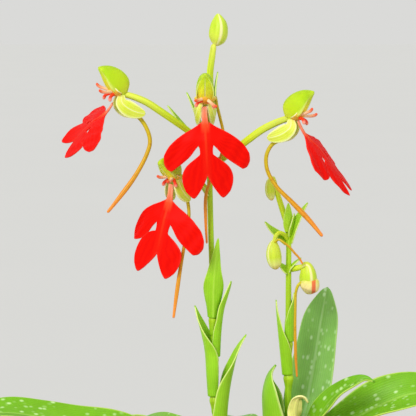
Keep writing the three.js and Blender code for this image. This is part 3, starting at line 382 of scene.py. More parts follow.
BASAL_LEAVES = {
    "a": {
        "spine": [
            [7.6, 5.6, 92], [6, 5.2, 101], [5.4, 5, 110], [5.3, 5, 118], [7, 5.6, 124], [10, 6.8, 127.4],
        ],
        "face": [[1, -0.1, 0.1], [1, -0.1, 0], [1, -0.1, 0], [0.8, -0.1, -0.5]],
        "half": [5.0, 8.6, 10.5, 10.5, 8.0, 0.6], "curl": [0.24, 0.19, 0.175, 0.17], "wave": 0.3,
    },
    "b": {
        "spine": [
            [16.4, 1.2, 98], [16.3, 0.9, 107], [16.4, 0.7, 113.6], [17.6, 0.5, 116.9], [19.6, 0.3, 116.9],
            [21.2, 0.1, 115],
        ],
        "face": [[-0.4, 1, 0], [-0.4, 1, 0.1], [-0.9, 0.2, 0.4], [0, 0.3, 1], [0.4, 0.3, 0.9]],
        "half": [2.2, 2.8, 3.2, 3.2, 2.4, 0.5], "curl": [0.2, 0.2, 0.12, 0.08],
    },
    "c": {
        "spine": [
            [14.8, 10.6, 94], [16.6, 12, 101], [19.8, 14.2, 108], [22.6, 17, 120], [24.9, 20, 132.4],
            [26.4, 21.5, 141.5], [27.8, 22.5, 149], [28.8, 23, 153.6],
        ],
        "face": [[-0.1, -1, 0], [-0.2, -1, 0.2], [-0.3, -0.9, 0.3], [-0.2, -1, 0.2]],
        "half": [2.6, 4.8, 7.8, 8.8, 8.3, 7.6, 6.5, 3.0], "curl": [0.26, 0.1, 0.06, 0.05, 0.05],
        "wave": 0.5,
    },
    "d": {
        "spine": [
            [18.3, 5.4, 92.6], [20, 5.2, 98], [22.8, 4.4, 104.4], [26.2, 2.6, 111.6], [30.4, 0.8, 117.4],
            [35.4, -1.8, 121.8], [40.6, -3.6, 124.4], [44.3, -4.6, 123.4],
        ],
        "face": [[-1, 0.1, 0], [-0.8, -0.2, 0.5], [-0.5, -0.5, 0.8], [-0.1, -0.6, 0.9], [0.4, -0.6, 0.8]],
        "half": [2.6, 3.2, 4.0, 4.6, 4.8, 4.2, 2.6, 0.6], "curl": [0.26, 0.2, 0.12, 0.06],
        "keel": [0, 0.08, 0.12, 0.1], "wave": 0.4,
    },
    "e": {
        "spine": [
            [19, 9, 91.4], [22, 9.6, 96], [29.6, 10, 102.4], [40, 9.4, 108.6], [50, 8.8, 113.8],
            [60, 8, 117], [71, 7, 115.6], [80, 6, 108.6], [84.6, 5.4, 101.6],
        ],
        "face": [
            [-0.9, -0.3, 0.2], [-0.5, -0.5, 0.7], [-0.3, -0.6, 0.8], [-0.1, -0.6, 0.8], [0.4, -0.5, 0.8],
            [0.8, -0.4, 0.5],
        ],
        "half": [2.6, 4.0, 6.8, 8.8, 9.4, 8.8, 7.2, 4.4, 0.8], "curl": [0.2, 0.12, 0.05, 0.03],
        "keel": [0, 0.1, 0.12, 0.1], "wave": 0.7,
    },
    "f": {
        "spine": [
            [-16.6, -6, 91.4], [-19, -6.2, 95.6], [-28, -7, 101], [-42, -8.6, 105], [-57, -10, 107.8],
            [-72, -11, 111.6], [-88, -12, 113.4], [-101, -12.6, 108.8], [-109, -13, 101],
        ],
        "face": [
            [0.9, -0.2, 0.2], [0.4, -0.2, 0.8], [0.1, -0.2, 0.9], [0, -0.2, 1], [-0.4, -0.2, 0.9],
            [-0.8, -0.2, 0.5],
        ],
        "half": [2.6, 4.0, 6.8, 8.8, 9.6, 9.6, 8.4, 5.4, 0.8], "curl": [0.2, 0.12, 0.05, 0.03],
        "keel": [0, 0.1, 0.12, 0.1], "wave": 0.7,
    },
    "g": {
        "spine": [
            [-12.8, 0.6, 91.4], [-14, 2.6, 95], [-19.2, 10.6, 99], [-28, 26, 101], [-37, 42, 101],
            [-45, 56, 96], [-50, 66, 87],
        ],
        "face": [
            [-0.2, -0.9, 0.2], [0.3, -0.5, 0.8], [0.2, -0.3, 0.9], [0, 0, 1], [-0.2, 0.4, 0.9],
            [-0.5, 0.7, 0.5],
        ],
        "half": [2.6, 3.8, 6.0, 7.2, 7.2, 5.0, 0.8], "curl": [0.2, 0.1, 0.04], "keel": [0, 0.08, 0.1, 0.1],
        "wave": 0.5,
    },
    "h": {
        "spine": [
            [-11.2, -11, 91.4], [-10.6, -13.4, 96], [-7.6, -22, 101.4], [-2, -37, 104], [4, -51, 102.4],
            [9, -63, 95], [12, -71, 85],
        ],
        "face": [
            [-0.2, 0.9, 0.2], [0, 0.5, 0.8], [-0.1, 0.2, 0.9], [0, 0, 1], [0.2, -0.4, 0.9],
            [0.3, -0.8, 0.5],
        ],
        "half": [2.6, 3.8, 6.2, 7.8, 7.8, 5.4, 0.8], "curl": [0.2, 0.1, 0.04], "keel": [0, 0.1, 0.12, 0.1],
        "wave": 0.6,
    },
    "j": {
        "spine": [
            [8.6, 11.8, 92], [7.4, 13.8, 95.2], [3.8, 20.6, 98.4], [0, 32, 100.4], [-3, 46, 101],
            [-5.2, 57.5, 98.6], [-6.4, 66, 91],
        ],
        "face": [
            [0.8, -0.5, 0.2], [0.4, -0.4, 0.8], [0.1, -0.2, 0.9], [0, 0, 1], [0, 0.5, 0.9],
            [-0.1, 0.8, 0.5],
        ],
        "half": [2.4, 3.4, 5.2, 6.2, 6.2, 4.4, 0.8], "curl": [0.2, 0.08, 0.03], "keel": [0, 0.06, 0.04],
        "wave": 0.2,
    },
}


# Smooth lists and lines


def along(values, t):
    """The smooth value at t, from 0 to 1, of numbers or vectors spread evenly over that range."""
    last = len(values) - 1
    if last == 0:
        return values[0]
    x = min(max(t, 0), 1) * last
    i = min(int(x), last - 1)
    f = x - i
    before, a, b, after = values[max(i - 1, 0)], values[i], values[i + 1], values[min(i + 2, last)]
    bend = before * 2 - a * 5 + b * 4 - after
    return (a * 2 + (b - before) * f + bend * f**2 + (a * 3 - before - b * 3 + after) * f**3) * 0.5


class Line:
    """A smooth line through the points, with places measured along its length from 0 to 1."""

    def __init__(self, points, steps=20):
        p = [Vector(point) for point in points]
        p = [p[0] * 2 - p[1], *p, p[-1] * 2 - p[-2]]
        self.places = []
        for a, b, c, d in zip(p, p[1:], p[2:], p[3:]):
            before, span, after = (math.sqrt((n - m).length) for m, n in ((a, b), (b, c), (c, d)))
            leave = ((b - a) / before - (c - a) / (before + span) + (c - b) / span) * span
            arrive = ((c - b) / span - (d - b) / (span + after) + (d - c) / after) * span
            for k in range(steps):
                f = k / steps
                curve = ((c - b) * 3 - leave * 2 - arrive) * f**2 + ((b - c) * 2 + leave + arrive) * f**3
                self.places.append(b + leave * f + curve)
        self.places.append(p[-2])
        self.lengths = [0]
        for m, n in zip(self.places, self.places[1:]):
            self.lengths.append(self.lengths[-1] + (n - m).length)
        self.length = self.lengths[-1]

    def at(self, t):
        goal = min(max(t, 0), 1) * self.length
        i = min(bisect.bisect_right(self.lengths, goal), len(self.lengths) - 1)
        share = (goal - self.lengths[i - 1]) / (self.lengths[i] - self.lengths[i - 1])
        return self.places[i - 1].lerp(self.places[i], share)

    def heading(self, t, reach=0.004):
        return (self.at(t + reach) - self.at(t - reach)).normalized()

    def frames(self, shares):
        """The place and two level directions across the line at each share, with no sudden turn."""
        side = self.heading(0).orthogonal().normalized()
        found = []
        for t in shares:
            heading = self.heading(t)
            side = (side - heading * side.dot(heading)).normalized()
            found.append((self.at(t), side, heading.cross(side)))
        return found


# Making and finishing meshes


def select_only(*pieces):
    bpy.ops.object.select_all(action="DESELECT")
    for piece in pieces:
        piece.select_set(True)
    bpy.context.view_layer.objects.active = pieces[0]


def grid(columns, rows, place, flat=None):
    """A grid with its points put at place(across, up), in millimetres, where across and up run from 0
    to 1. Its texture map is flat(across, up), in tenths of a metre, or else across and up themselves."""
    bpy.ops.object.select_all(action="DESELECT")
    bpy.ops.mesh.primitive_grid_add(x_subdivisions=columns, y_subdivisions=rows, size=2)
    piece = bpy.context.object
    mesh = piece.data
    shares = [((point.co.x + 1) / 2, (point.co.y + 1) / 2) for point in mesh.vertices]
    for point, share in zip(mesh.vertices, shares):
        point.co = place(*share) * MM
    for name, values in zip(("across", "along"), zip(*shares)):
        mesh.attributes.new(name, "FLOAT", "POINT").data.foreach_set("value", values)
    if flat:
        texture = mesh.uv_layers.active.data
        for corner in mesh.loops:
            texture[corner.index].uv = [0.01 * value for value in flat(*shares[corner.vertex_index])]
    return piece


def join(pieces):
    select_only(*pieces)
    bpy.ops.object.join()
    return pieces[0]


def mend(piece, reach=0.02):
    """Merges the points that meet and turns every face outwards."""
    select_only(piece)
    bpy.ops.object.mode_set(mode="EDIT")
    bpy.ops.mesh.select_all(action="SELECT")
    bpy.ops.mesh.remove_doubles(threshold=reach * MM)
    bpy.ops.mesh.normals_make_consistent(inside=False)
    bpy.ops.object.mode_set(mode="OBJECT")


def apply_modifier(piece, kind, **settings):
    select_only(piece)
    modifier = piece.modifiers.new(kind.lower(), kind)
    for name, value in settings.items():
        setattr(modifier, name, value)
    bpy.ops.object.modifier_apply(modifier=modifier.name)


def finish(piece, thickness=0, levels=1):
    """Gives a sheet its thickness, rounds the piece and shades it smooth."""
    mend(piece)
    if thickness:
        apply_modifier(piece, "SOLIDIFY", thickness=thickness * MM, offset=0)
    if levels:
        apply_modifier(piece, "SUBSURF", levels=levels, render_levels=levels)
    mend(piece, 0.001)
    bpy.ops.object.shade_smooth()
    return piece


def settle(piece, name, material, slot, *nodes):
    """Names a finished piece and puts it on the plant, in the place of its solids."""
    piece.name = name
    piece.data.name = name
    piece.data.materials.clear()
    piece.data.materials.append(material)
    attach(piece, "root")
    if nodes:
        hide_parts(*nodes)


def tube(points, radii, around, rows, ribs=0, rib_depth=0):
    """A rod along a smooth line with round ends. Its radius follows `radii`, and `ribs` run along it."""
    line = Line(points)
    start, end = radii[0] / line.length, radii[-1] / line.length
    cap = (0, 0.08, 0.35, 1)
    middle = [start + (1 - start - end) * k / rows for k in range(1, rows)]
    shares = [start * c for c in cap] + middle + [1 - end * c for c in reversed(cap)]
    frames = line.frames(shares)

    def radius(t):
        inset = min(t / start, (1 - t) / end, 1)
        return along(radii, t) * math.sqrt(max(0, 1 - (1 - inset) ** 2))

    def place(across, up):
        i = round(up * (len(shares) - 1))
        centre, side, other = frames[i]
        angle = TURN * across
        reach = radius(shares[i]) * (1 + rib_depth * math.cos(ribs * angle))
        return centre + side * reach * math.cos(angle) + other * reach * math.sin(angle)

    return grid(around, len(shares) - 1, place)


def blade(spine, face, half, curl, groove, rows, columns, keel=(0,), wave=0, waves=3):
    """A leaf, bract or sepal: its midrib `spine`, the way its upper `face` looks, its half width
    `half`, and how tightly its edges `curl` towards that face, in turns of 1/mm. `keel` folds it
    along the midrib, `groove` sinks the midrib and `wave` is the height of the `waves` at its edges."""
    line = Line(spine)
    faces = [Vector(direction) for direction in face]

    def arc(across, t):
        return (2 * across - 1) * along(half, t) * math.sqrt(max(0, 1 - t**16))

    def place(across, t):
        s, width, bend = 2 * across - 1, arc(across, t), along(curl, t)
        heading = line.heading(t)
        up = along(faces, t)
        up = (up - heading * up.dot(heading)).normalized()
        flat = abs(bend) < 1e-4
        aside = width if flat else math.sin(width * bend) / bend
        rise = 0 if flat else (1 - math.cos(width * bend)) / bend
        rise += abs(width) * along(keel, t) - groove * math.exp(-((width / GROOVE_HALF) ** 2))
        rise += wave * s**2 * math.sin(waves * TURN * t + (1.7 if s > 0 else 0)) * math.sin(math.pi * t)
        return line.at(t) + heading.cross(up) * aside + up * rise

    return grid(columns, rows, place, lambda across, t: (arc(across, t), t * line.length))


# Pot and filling


def turned(profile, around):
    """A turned body. The outline runs from the axis at the bottom, up the outside and back to the axis."""

    def place(across, up):
        radius, height = profile[round(up * (len(profile) - 1))]
        return Vector((radius * math.cos(TURN * across), radius * math.sin(TURN * across), height))

    return grid(around, len(profile) - 1, place)


def make_pot():
    shoulder = POT_HEIGHT - RIM_BAND
    wall_top = POT_BODY_RADIUS - POT_WALL
    profile = [
        (0, 0), (POT_FOOT_RADIUS - 1, 0), (POT_FOOT_RADIUS, 1), (POT_BODY_RADIUS - 2.5, shoulder),
        (POT_RIM_RADIUS - 1.4, shoulder), (POT_RIM_RADIUS - 0.8, shoulder + 1),
        (POT_RIM_RADIUS, POT_HEIGHT - 1.5), (POT_RIM_RADIUS - 1.5, POT_HEIGHT),
        (wall_top + 1.5, POT_HEIGHT), (wall_top + WALL_GAP, POT_HEIGHT - MOUTH_DROP),
        (POT_FOOT_RADIUS - POT_WALL, POT_FLOOR), (0, POT_FLOOR),
    ]
    pot = turned(profile, 128)
    mend(pot)
    sharp = math.radians(25)
    apply_modifier(pot, "BEVEL", width=0.7 * MM, segments=3, limit_method="ANGLE", angle_limit=sharp)
    for hole in range(DRAIN_COUNT):
        angle = TURN * (hole + 0.5) / DRAIN_COUNT
        bpy.ops.object.select_all(action="DESELECT")
        bpy.ops.mesh.primitive_cylinder_add(
            vertices=32, radius=DRAIN_RADIUS * MM, depth=4 * POT_FLOOR * MM,
            location=(DRAIN_RING * math.cos(angle) * MM, DRAIN_RING * math.sin(angle) * MM, 0),
        )
        drill = bpy.context.object
        apply_modifier(pot, "BOOLEAN", object=drill, operation="DIFFERENCE", solver="EXACT")
        bpy.data.objects.remove(drill)
    select_only(pot)
    bpy.ops.object.shade_smooth_by_angle(angle=math.radians(30))
    return pot


def stem_distance(x, y):
    return min(math.hypot(x - stem[0], y - stem[1]) for stem in STEM_PLACES)


def soil_height(x, y):
    """The top of the mix is uneven, and level close to the stems."""
    bumps = 0.9 * math.sin(0.33 * x + 0.8) * math.cos(0.29 * y) + 0.6 * math.sin(0.19 * (x + y) + 2)
    near = min(max((stem_distance(x, y) - 6) / 8, 0), 1)
    return SOIL_TOP + bumps * near**2 * (3 - 2 * near)


def make_soil():
    def wall(height):
        low, high = POT_FOOT_RADIUS - POT_WALL, POT_BODY_RADIUS - POT_WALL + WALL_GAP
        return low + (high - low) * (height - POT_FLOOR) / (POT_HEIGHT - MOUTH_DROP - POT_FLOOR) - WALL_GAP

    bottom = POT_FLOOR + WALL_GAP
    rings = 40
    profile = [(0, bottom), (wall(bottom) - 0.2, bottom)]
    profile += [(wall(SOIL_TOP) * (1 - ring / rings), SOIL_TOP) for ring in range(rings + 1)]
    soil = turned(profile, 96)
    mend(soil)
    grain = random.Random(11)
    for point in soil.data.vertices:
        x, y, z = point.co / MM
        if z > SOIL_TOP - 1:
            crumb = grain.uniform(-CRUMB_RISE, CRUMB_RISE) if stem_distance(x, y) > 3 else 0
            edge = math.hypot(x, y) > wall(SOIL_TOP) - 0.1
            point.co.z = (SOIL_TOP - 0.4 if edge else soil_height(x, y) + crumb) * MM
    return finish(soil, levels=0)


def pebble(size, place, turn, draw):
    """One chip or grain: a small ball pushed about, squeezed to `size` and turned round."""
    bpy.ops.object.select_all(action="DESELECT")
    bpy.ops.mesh.primitive_ico_sphere_add(subdivisions=1, radius=1)
    chip = bpy.context.object
    for point in chip.data.vertices:
        point.co *= 1 + draw.uniform(-CHIP_ROUGHNESS, CHIP_ROUGHNESS)
        x, y, z = (value * scale for value, scale in zip(point.co, size))
        point.co = Vector((
            place[0] + x * math.cos(turn) - y * math.sin(turn),
            place[1] + x * math.sin(turn) + y * math.cos(turn),
            place[2] + z,
        )) * MM
    return chip


def scatter(count, draw, low, high, clear, sink):
    """Chips of random size between `low` and `high`, half sunk in the mix, clear of the stems."""
    chips = []
    while len(chips) < count:
        angle, reach = TURN * draw.random(), CHIP_REACH * math.sqrt(draw.random())
        x, y = reach * math.cos(angle), reach * math.sin(angle)
        size = [draw.uniform(a, b) for a, b in zip(low, high)]
        turn = math.pi * draw.random()
        if stem_distance(x, y) > clear and reach + max(size) < CHIP_LIMIT:
            chips.append(pebble(size, (x, y, soil_height(x, y) + sink * size[2]), turn, draw))
    return join(chips)


# Flowers


def flower_axes(at, azimuth, pitch=0, size=1):
    """The flower's own axes: forward is the way it faces, side is level and up is to its hood."""
    level = Vector((math.cos(math.radians(azimuth)), math.sin(math.radians(azimuth)), 0))
    side = Vector((0, 0, 1)).cross(level)
    forward = level * math.cos(math.radians(pitch)) + Vector((0, 0, 1)) * math.sin(math.radians(pitch))
    up = forward.cross(side)
    return lambda f, s, u: Vector(at) + (forward * f + side * s + up * u) * size


def make_hood(to):
    """The back sepal arches over the flower, from its crest down to its edges on either side."""
    parts = [[[p[k] for p in points] for k in (0, 1)] for points in (HOOD_CREST, HOOD_EDGE)]

    def place(across, t):
        angle = math.radians(-HOOD_REACH_DEGREES + 2 * HOOD_REACH_DEGREES * across)
        (crest_f, crest_u), (edge_f, edge_u) = ([along(values, t) for values in part] for part in parts)
        rise = math.cos(angle)
        width = along(HOOD_HALF, t) * math.sin(angle)
        return to(edge_f + (crest_f - edge_f) * rise, width, edge_u + (crest_u - edge_u) * rise)

    return finish(grid(20, 18, place), PETAL_THICK)


def make_petals(to):
    """The two petals close the front of the hood, from its edges to the middle, and flare at the foot."""
    petals = []
    for hand in (-1, 1):

        def place(across, t, hand=hand):
            share = PETAL_START + (1 - PETAL_START) * t
            edge_f, edge_u = (along([point[k] for point in HOOD_EDGE], share) for k in (0, 1))
            width = along(HOOD_HALF, share)
            foot = math.exp(-(((t - 0.14) / 0.12) ** 2))
            bulge = 1.7 * (1 - t**3) * math.sin(math.pi / 2 * across) ** 0.8
            aside = width * (1 - across) * (1 + 0.5 * foot) + 0.25 * foot * (1 - across)
            return to(edge_f + 0.6 * bulge + 0.5 * foot * (1 - across), aside * hand, edge_u - 0.8 * bulge)

        petals.append(finish(grid(10, 22, place), PETAL_THICK))
    return join(petals)


def make_side_sepal(to, hand, hang=0, spread=1, turn=0):
    """A side sepal hangs back from the flower's middle, with its outer face out to the side. `turn`
    brings that face round to the front."""
    cos, sin = math.cos(math.radians(hang)), math.sin(math.radians(hang))
    last = len(SIDE_SEPAL_SPINE) - 1
    out = [hand * (1 + (spread - 1) * i / last) for i in range(last + 1)]
    petal = blade(
        spine=[
            to(f * cos - u * sin, s * aside, f * sin + u * cos)
            for (f, s, u), aside in zip(SIDE_SEPAL_SPINE, out)
        ],
        face=[to(f + turn, s * hand, u) - to(0, 0, 0) for f, s, u in SIDE_SEPAL_FACE],
        half=[1.1, 2.4, 2.9, 2.3, 1.3], curl=[-0.08, -0.08, -0.04, -0.03], groove=-0.12, rows=18, columns=10,
    )
    return finish(petal, PETAL_THICK)


def make_column(to):
    """The column with its two pollen sacs, which lie side by side in the mouth of the hood."""
    parts = [tube([to(*point) for point in COLUMN_CORE], [1.0, 1.45, 1.3, 0.8], around=16, rows=12)]
    for hand in (-1, 1):
        sac = [to(f, s * hand, u) for f, s, u in POLLEN_SAC]
        parts.append(tube(sac, [0.6, 0.72, 0.45], around=12, rows=10))
    return join([finish(part) for part in parts])


def make_arms(to, routes, radii, drop=0, spread=0):
    """A pair of arms, one on each side of the column. `drop` lowers their ends and `spread` parts them."""
    arms = []
    for hand, route in zip((-1, 1), routes):
        far = [i / (len(route) - 1) for i in range(len(route))]
        points = [to(f, (s + spread * t) * hand, u - drop * t) for (f, s, u), t in zip(route, far)]
        arms.append(finish(tube(points, radii, around=12, rows=20)))
    return join(arms)


def refined(rows, steps=3):
    """A grid of points made finer by smooth lines through its rows and then through its columns."""
    for _ in range(2):
        fine = [k / ((len(rows) - 1) * steps) for k in range((len(rows) - 1) * steps + 1)]
        rows = [[along([Vector(row[j]) for row in rows], t) for j in range(len(rows[0]))] for t in fine]
        rows = list(zip(*rows))
    return rows


def between(a, b, share):
    return Vector(a).lerp(Vector(b), share)


def lip_patches(full):
    """The flat lip as five grids that meet: its middle strip, two side lobes and two end lobes. `full`
    gives, for each half, how far in millimetres its side lobe grows towards its end lobe."""
    shares = [k / 3 - 1 for k in range(7)]
    patches = [[[Vector((share * half, v)) for share in shares] for v, half in LIP_STRIP]]
    first, last = SIDE_LOBE_ROOT
    end, end_half = LIP_STRIP[-1]
    for hand, grow in zip((-1, 1), full):
        lower_edge = [(u, v + grow * part) for (u, v), part in zip(SIDE_LOBE_LOWER, SIDE_LOBE_GROWTH)]
        outer_edge = [(u, v - grow * part) for (u, v), part in zip(MIDDLE_LOBE_OUTER, MIDDLE_LOBE_GROWTH)]
        side_lobe = [[Vector((half, v)) for v, half in LIP_STRIP[first : last + 1]]]
        for upper, lower in zip(SIDE_LOBE_UPPER[:-1], lower_edge):
            side_lobe.append([between(upper, lower, k / 4) for k in range(5)])
        side_lobe.append([Vector(point) for point in SIDE_LOBE_END])
        end_lobe = [[Vector((end_half * k / 3, end)) for k in range(4)]]
        for inner, outer in zip(MIDDLE_LOBE_INNER[:-1], outer_edge):
            end_lobe.append([between(inner, outer, k / 3) for k in range(4)])
        end_lobe.append([Vector(point) for point in MIDDLE_LOBE_END])
        for lobe in (side_lobe, end_lobe):
            patches.append([[Vector((point.x * hand, point.y)) for point in row] for row in lobe])
    return [refined(patch) for patch in patches]


def make_lip(
    top, down, side, size, droop=2, spread=3, lift=0, sway=0, narrow=0, cup=0, taper=(0, 0), full=(0, 0)
):
    """A lip hangs from `top`: `down` is the way its midrib runs and `side` the way across it. `droop`
    and `spread` bend its end and its side lobes back, `lift` raises the side lobes, `sway` leans its
    end aside, and `narrow`, `cup`, `taper` and `full` shape each half."""
    axis, across = Vector(down).normalized(), Vector(side).normalized()
    out = axis.cross(across).normalized()

    def bent(u, v):
        width = max(0, abs(u) - LIP_STRIP_HALF) / SIDE_LOBE_REACH
        end = max(0, v - CLAW_LENGTH) / (LIP_LENGTH - CLAW_LENGTH)
        cupped = cup * -u * end**2 / MIDDLE_LOBE_REACH if u < 0 else 0
        wave = LIP_RUFFLE * width * math.sin(0.62 * v + 1.1 * u) + cupped
        frill = LIP_FRILL * width * math.sin(2.3 * v - 1.9 * abs(u))
        frill += LIP_MIDRIB * math.exp(-((u / 0.6) ** 2)) * (1 - end)
        back = spread * width**1.6 + droop * end**2 + LIP_ARCH * math.sin(math.pi * min(1, v / 12))
        reach = (1 - narrow * width) * (1 - taper[0] * end) if u < 0 else 1 - taper[1] * end
        place = across * (u * reach + sway * end**2) + axis * (v - lift * width)
        return Vector(top) + (place + out * (wave + frill - back)) * size

    parts = []
    for patch in lip_patches(full):
        rows, columns = len(patch) - 1, len(patch[0]) - 1
        parts.append(grid(columns, rows, lambda a, b: patch[round(b * rows)][round(a * columns)].to_3d()))
    sheet = join(parts)
    mend(sheet, 0.12)
    mesh = sheet.data
    flat = [point.co.xy / MM for point in mesh.vertices]
    texture = mesh.uv_layers.active.data
    for corner in mesh.loops:
        texture[corner.index].uv = flat[corner.vertex_index] * 0.01
    uses = {}
    for face in mesh.polygons:
        for edge in face.edge_keys:
            uses[edge] = uses.get(edge, 0) + 1
    rim = [0.0] * len(flat)
    for edge, count in uses.items():
        if count == 1:
            for point in edge:
                rim[point] = 1.0
    mesh.attributes.new("rim", "FLOAT", "POINT").data.foreach_set("value", rim)
    for point, (u, v) in zip(mesh.vertices, flat):
        point.co = bent(u, v) * MM
    return finish(sheet, LIP_THICK)


# Stems, buds and bracts


def rooted(spine):
    """The leaf's midrib with a foot that runs down into the mix, close to the nearest stem."""
    x, y, _ = spine[0]
    stem_x, stem_y = min(STEM_PLACES, key=lambda stem: math.hypot(x - stem[0], y - stem[1]))
    return [((x + stem_x) / 2, (y + stem_y) / 2, SOIL_TOP - LEAF_ROOTING), *spine]


def make_collar(spine, face, curl):
    """The ring from which a sheath leaf grows: it widens from the stem to the mouth of the sheath."""
    radius = 1 / curl[0]
    centre = Vector(spine[0]) + Vector(face[0]).normalized() * radius
    points = [centre + Vector((0, 0, rise)) for rise in COLLAR_RISES]
    return finish(tube(points, [1.15, 1.3, radius * 0.88, radius + 0.24], around=24, rows=14))


def make_bract(spine, face, half=(1.2, 1.9, 1.7, 1.1, 0.4), curl=(0.4, 0.25, 0.15)):
    return finish(blade(spine, face, half, curl, groove=0.12, rows=18, columns=8), SHEATH_THICK)


def make_bud(points, radii):
    """A bud with the three seams where its sepals meet."""
    return finish(tube(points, radii, around=18, rows=18, ribs=3, rib_depth=0.05))


# Materials. Every colour is an sRGB hex value, and every pattern has a real size in millimetres


def linear(hex_colour):
    """The linear colour, with full opacity, of an sRGB hex value."""
    values = [int(hex_colour[i : i + 2], 16) / 255 for i in (1, 3, 5)]
    return [v / 12.92 if v <= 0.04045 else ((v + 0.055) / 1.055) ** 2.4 for v in values] + [1]


def new_material(name, **shader_values):
    """A material with its shader's constant sockets set, and the function that adds a node to it."""
    material = bpy.data.materials.new(name)
    material.use_nodes = True
    shader = material.node_tree.nodes["Principled BSDF"]
    for socket, value in shader_values.items():
        shader.inputs[socket.replace("_", " ")].default_value = value
    return material, functools.partial(add_node, material.node_tree)


def add_node(tree, kind, inputs=(), stops=(), **settings):
    """Adds one shader node. `inputs` gives each socket a value, a hex colour or the output that feeds
    it, and `stops` are the places and colours of a ramp."""
    node = tree.nodes.new("ShaderNode" + kind)
    for name, value in settings.items():
        setattr(node, name, value)
    for socket, value in dict(inputs).items():
        if isinstance(value, bpy.types.NodeSocket):
            tree.links.new(value, node.inputs[socket])
        else:
            node.inputs[socket].default_value = linear(value) if isinstance(value, str) else value
    for i, (place, colour) in enumerate(stops):
        ramp = node.color_ramp.elements
        element = ramp[i] if i < 2 else ramp.new(place)
        element.position = place
        element.color = linear(colour)
    return node


def overlaid(add, colour, other, value, span, shares, interpolation="SMOOTHSTEP"):
    """The colour with another laid over it, whose share runs over `shares` as the value crosses `span`."""
    share = add("MapRange", {
        "Value": value, "From Min": span[0], "From Max": span[1], "To Min": shares[0], "To Max": shares[1],
    }, interpolation_type=interpolation)
    return add("Mix", {0: share.outputs[0], 6: colour, 7: other}, data_type="RGBA").outputs[2]


def toned(add, colour, value, span, tones):
    """The colour times a factor that runs over `tones` as the value crosses `span`."""
    tone = add("MapRange", {
        "Value": value, "From Min": span[0], "From Max": span[1], "To Min": tones[0], "To Max": tones[1],
    })
    return add("Mix", {
        0: 1.0, 6: colour, 7: tone.outputs[0],
    }, data_type="RGBA", blend_type="MULTIPLY").outputs[2]


def clad(material, colour, height, depth):
    """Feeds the material's shader its colour, and a relief whose height of 1 is `depth` millimetres."""
    tree = material.node_tree
    relief = add_node(tree, "Bump", {"Height": height, "Distance": depth * MM, "Strength": 1})
    feeds = {"Base Color": colour, "Normal": relief.outputs["Normal"]}
    for socket, value in feeds.items():
        tree.links.new(value, tree.nodes["Principled BSDF"].inputs[socket])
    return material


FLESH = {
    "Subsurface_Weight": 0.12, "Subsurface_Radius": (0.6, 0.9, 0.2), "Subsurface_Scale": MM,
    "Specular_IOR_Level": 0.28, "IOR": 1.42,
}


def leaf_skin(name, shades, margin, edge=0.88, midrib=None, spots=None):
    """Living leaf: a waxy cuticle, satin to the eye, over soft green flesh, with fine veins along it.
    `shades` run from its root to its tip, `margin` colours its edge and `spots` its pale flecks.
    `midrib` paints a pale line down its middle: a real pale midrib on the leaves, and a painted
    highlight along the fold on the side sepals."""
    material, add = new_material(name, Roughness=0.4, **FLESH)
    up = add("Attribute", attribute_name="along").outputs["Fac"]
    across = add("Attribute", attribute_name="across").outputs["Fac"]
    half = add("Math", {0: across, 1: 2, 2: -1}, operation="MULTIPLY_ADD").outputs[0]
    aside = add("Math", {0: half}, operation="ABSOLUTE").outputs[0]
    texture = add("TexCoord")
    colour = add("ValToRGB", {"Fac": up}, stops=shades).outputs["Color"]
    veins = add("TexWave", {
        "Vector": texture.outputs["UV"], "Scale": TURN / 20 / (VEIN_GAP * 0.01), "Distortion": 1.2,
        "Detail": 2, "Detail Scale": 1.5,
    }, bands_direction="X").outputs["Fac"]
    mottle = add("TexNoise", {
        "Vector": texture.outputs["Object"], "Scale": 1 / (6 * MM), "Detail": 5, "Roughness": 0.6,
    }).outputs["Fac"]
    tone = add("Math", {0: veins, 1: 0.2, 2: mottle}, operation="MULTIPLY_ADD").outputs[0]
    colour = toned(add, colour, tone, (0.35, 0.85), (0.9, 1.12))
    if spots:
        fleck_colour, gap, stretch = spots
        flecks = add("Mapping", {
            "Vector": texture.outputs["UV"], "Scale": (100 / gap, 100 / gap / stretch, 1),
        }).outputs[0]
        cells = add("TexVoronoi", {"Vector": flecks, "Scale": 1, "Randomness": 0.9})
        near = add("MapRange", {
            "Value": cells.outputs["Distance"], "From Min": 0.14, "From Max": 0.4, "To Min": 1, "To Max": 0,
        }, interpolation_type="SMOOTHSTEP").outputs[0]
        chance = add("SeparateColor", {"Color": cells.outputs["Color"]}).outputs[0]
        chance = add("MapRange", {
            "Value": chance, "From Min": 0.15, "From Max": 0.7, "To Min": 0, "To Max": 0.85,
        }).outputs[0]
        amount = add("Math", {0: near, 1: chance}, operation="MULTIPLY").outputs[0]
        colour = add("Mix", {0: amount, 6: colour, 7: fleck_colour}, data_type="RGBA").outputs[2]
    # A pale line down the middle: the real pale midrib of a leaf, and on the side sepals a painted highlight
    # along their fold
    if midrib:
        colour = overlaid(add, colour, midrib, aside, (0.02, 0.1), (0.6, 0))
    colour = overlaid(add, colour, margin, aside, (edge, 1), (0, 0.85))
    cells = add("TexNoise", {
        "Vector": texture.outputs["Object"], "Scale": 1 / (0.5 * MM), "Detail": 3,
    }).outputs["Fac"]
    height = add("Math", {0: cells, 1: 0.35, 2: veins}, operation="MULTIPLY_ADD").outputs[0]
    return clad(material, colour, height, 0.03)


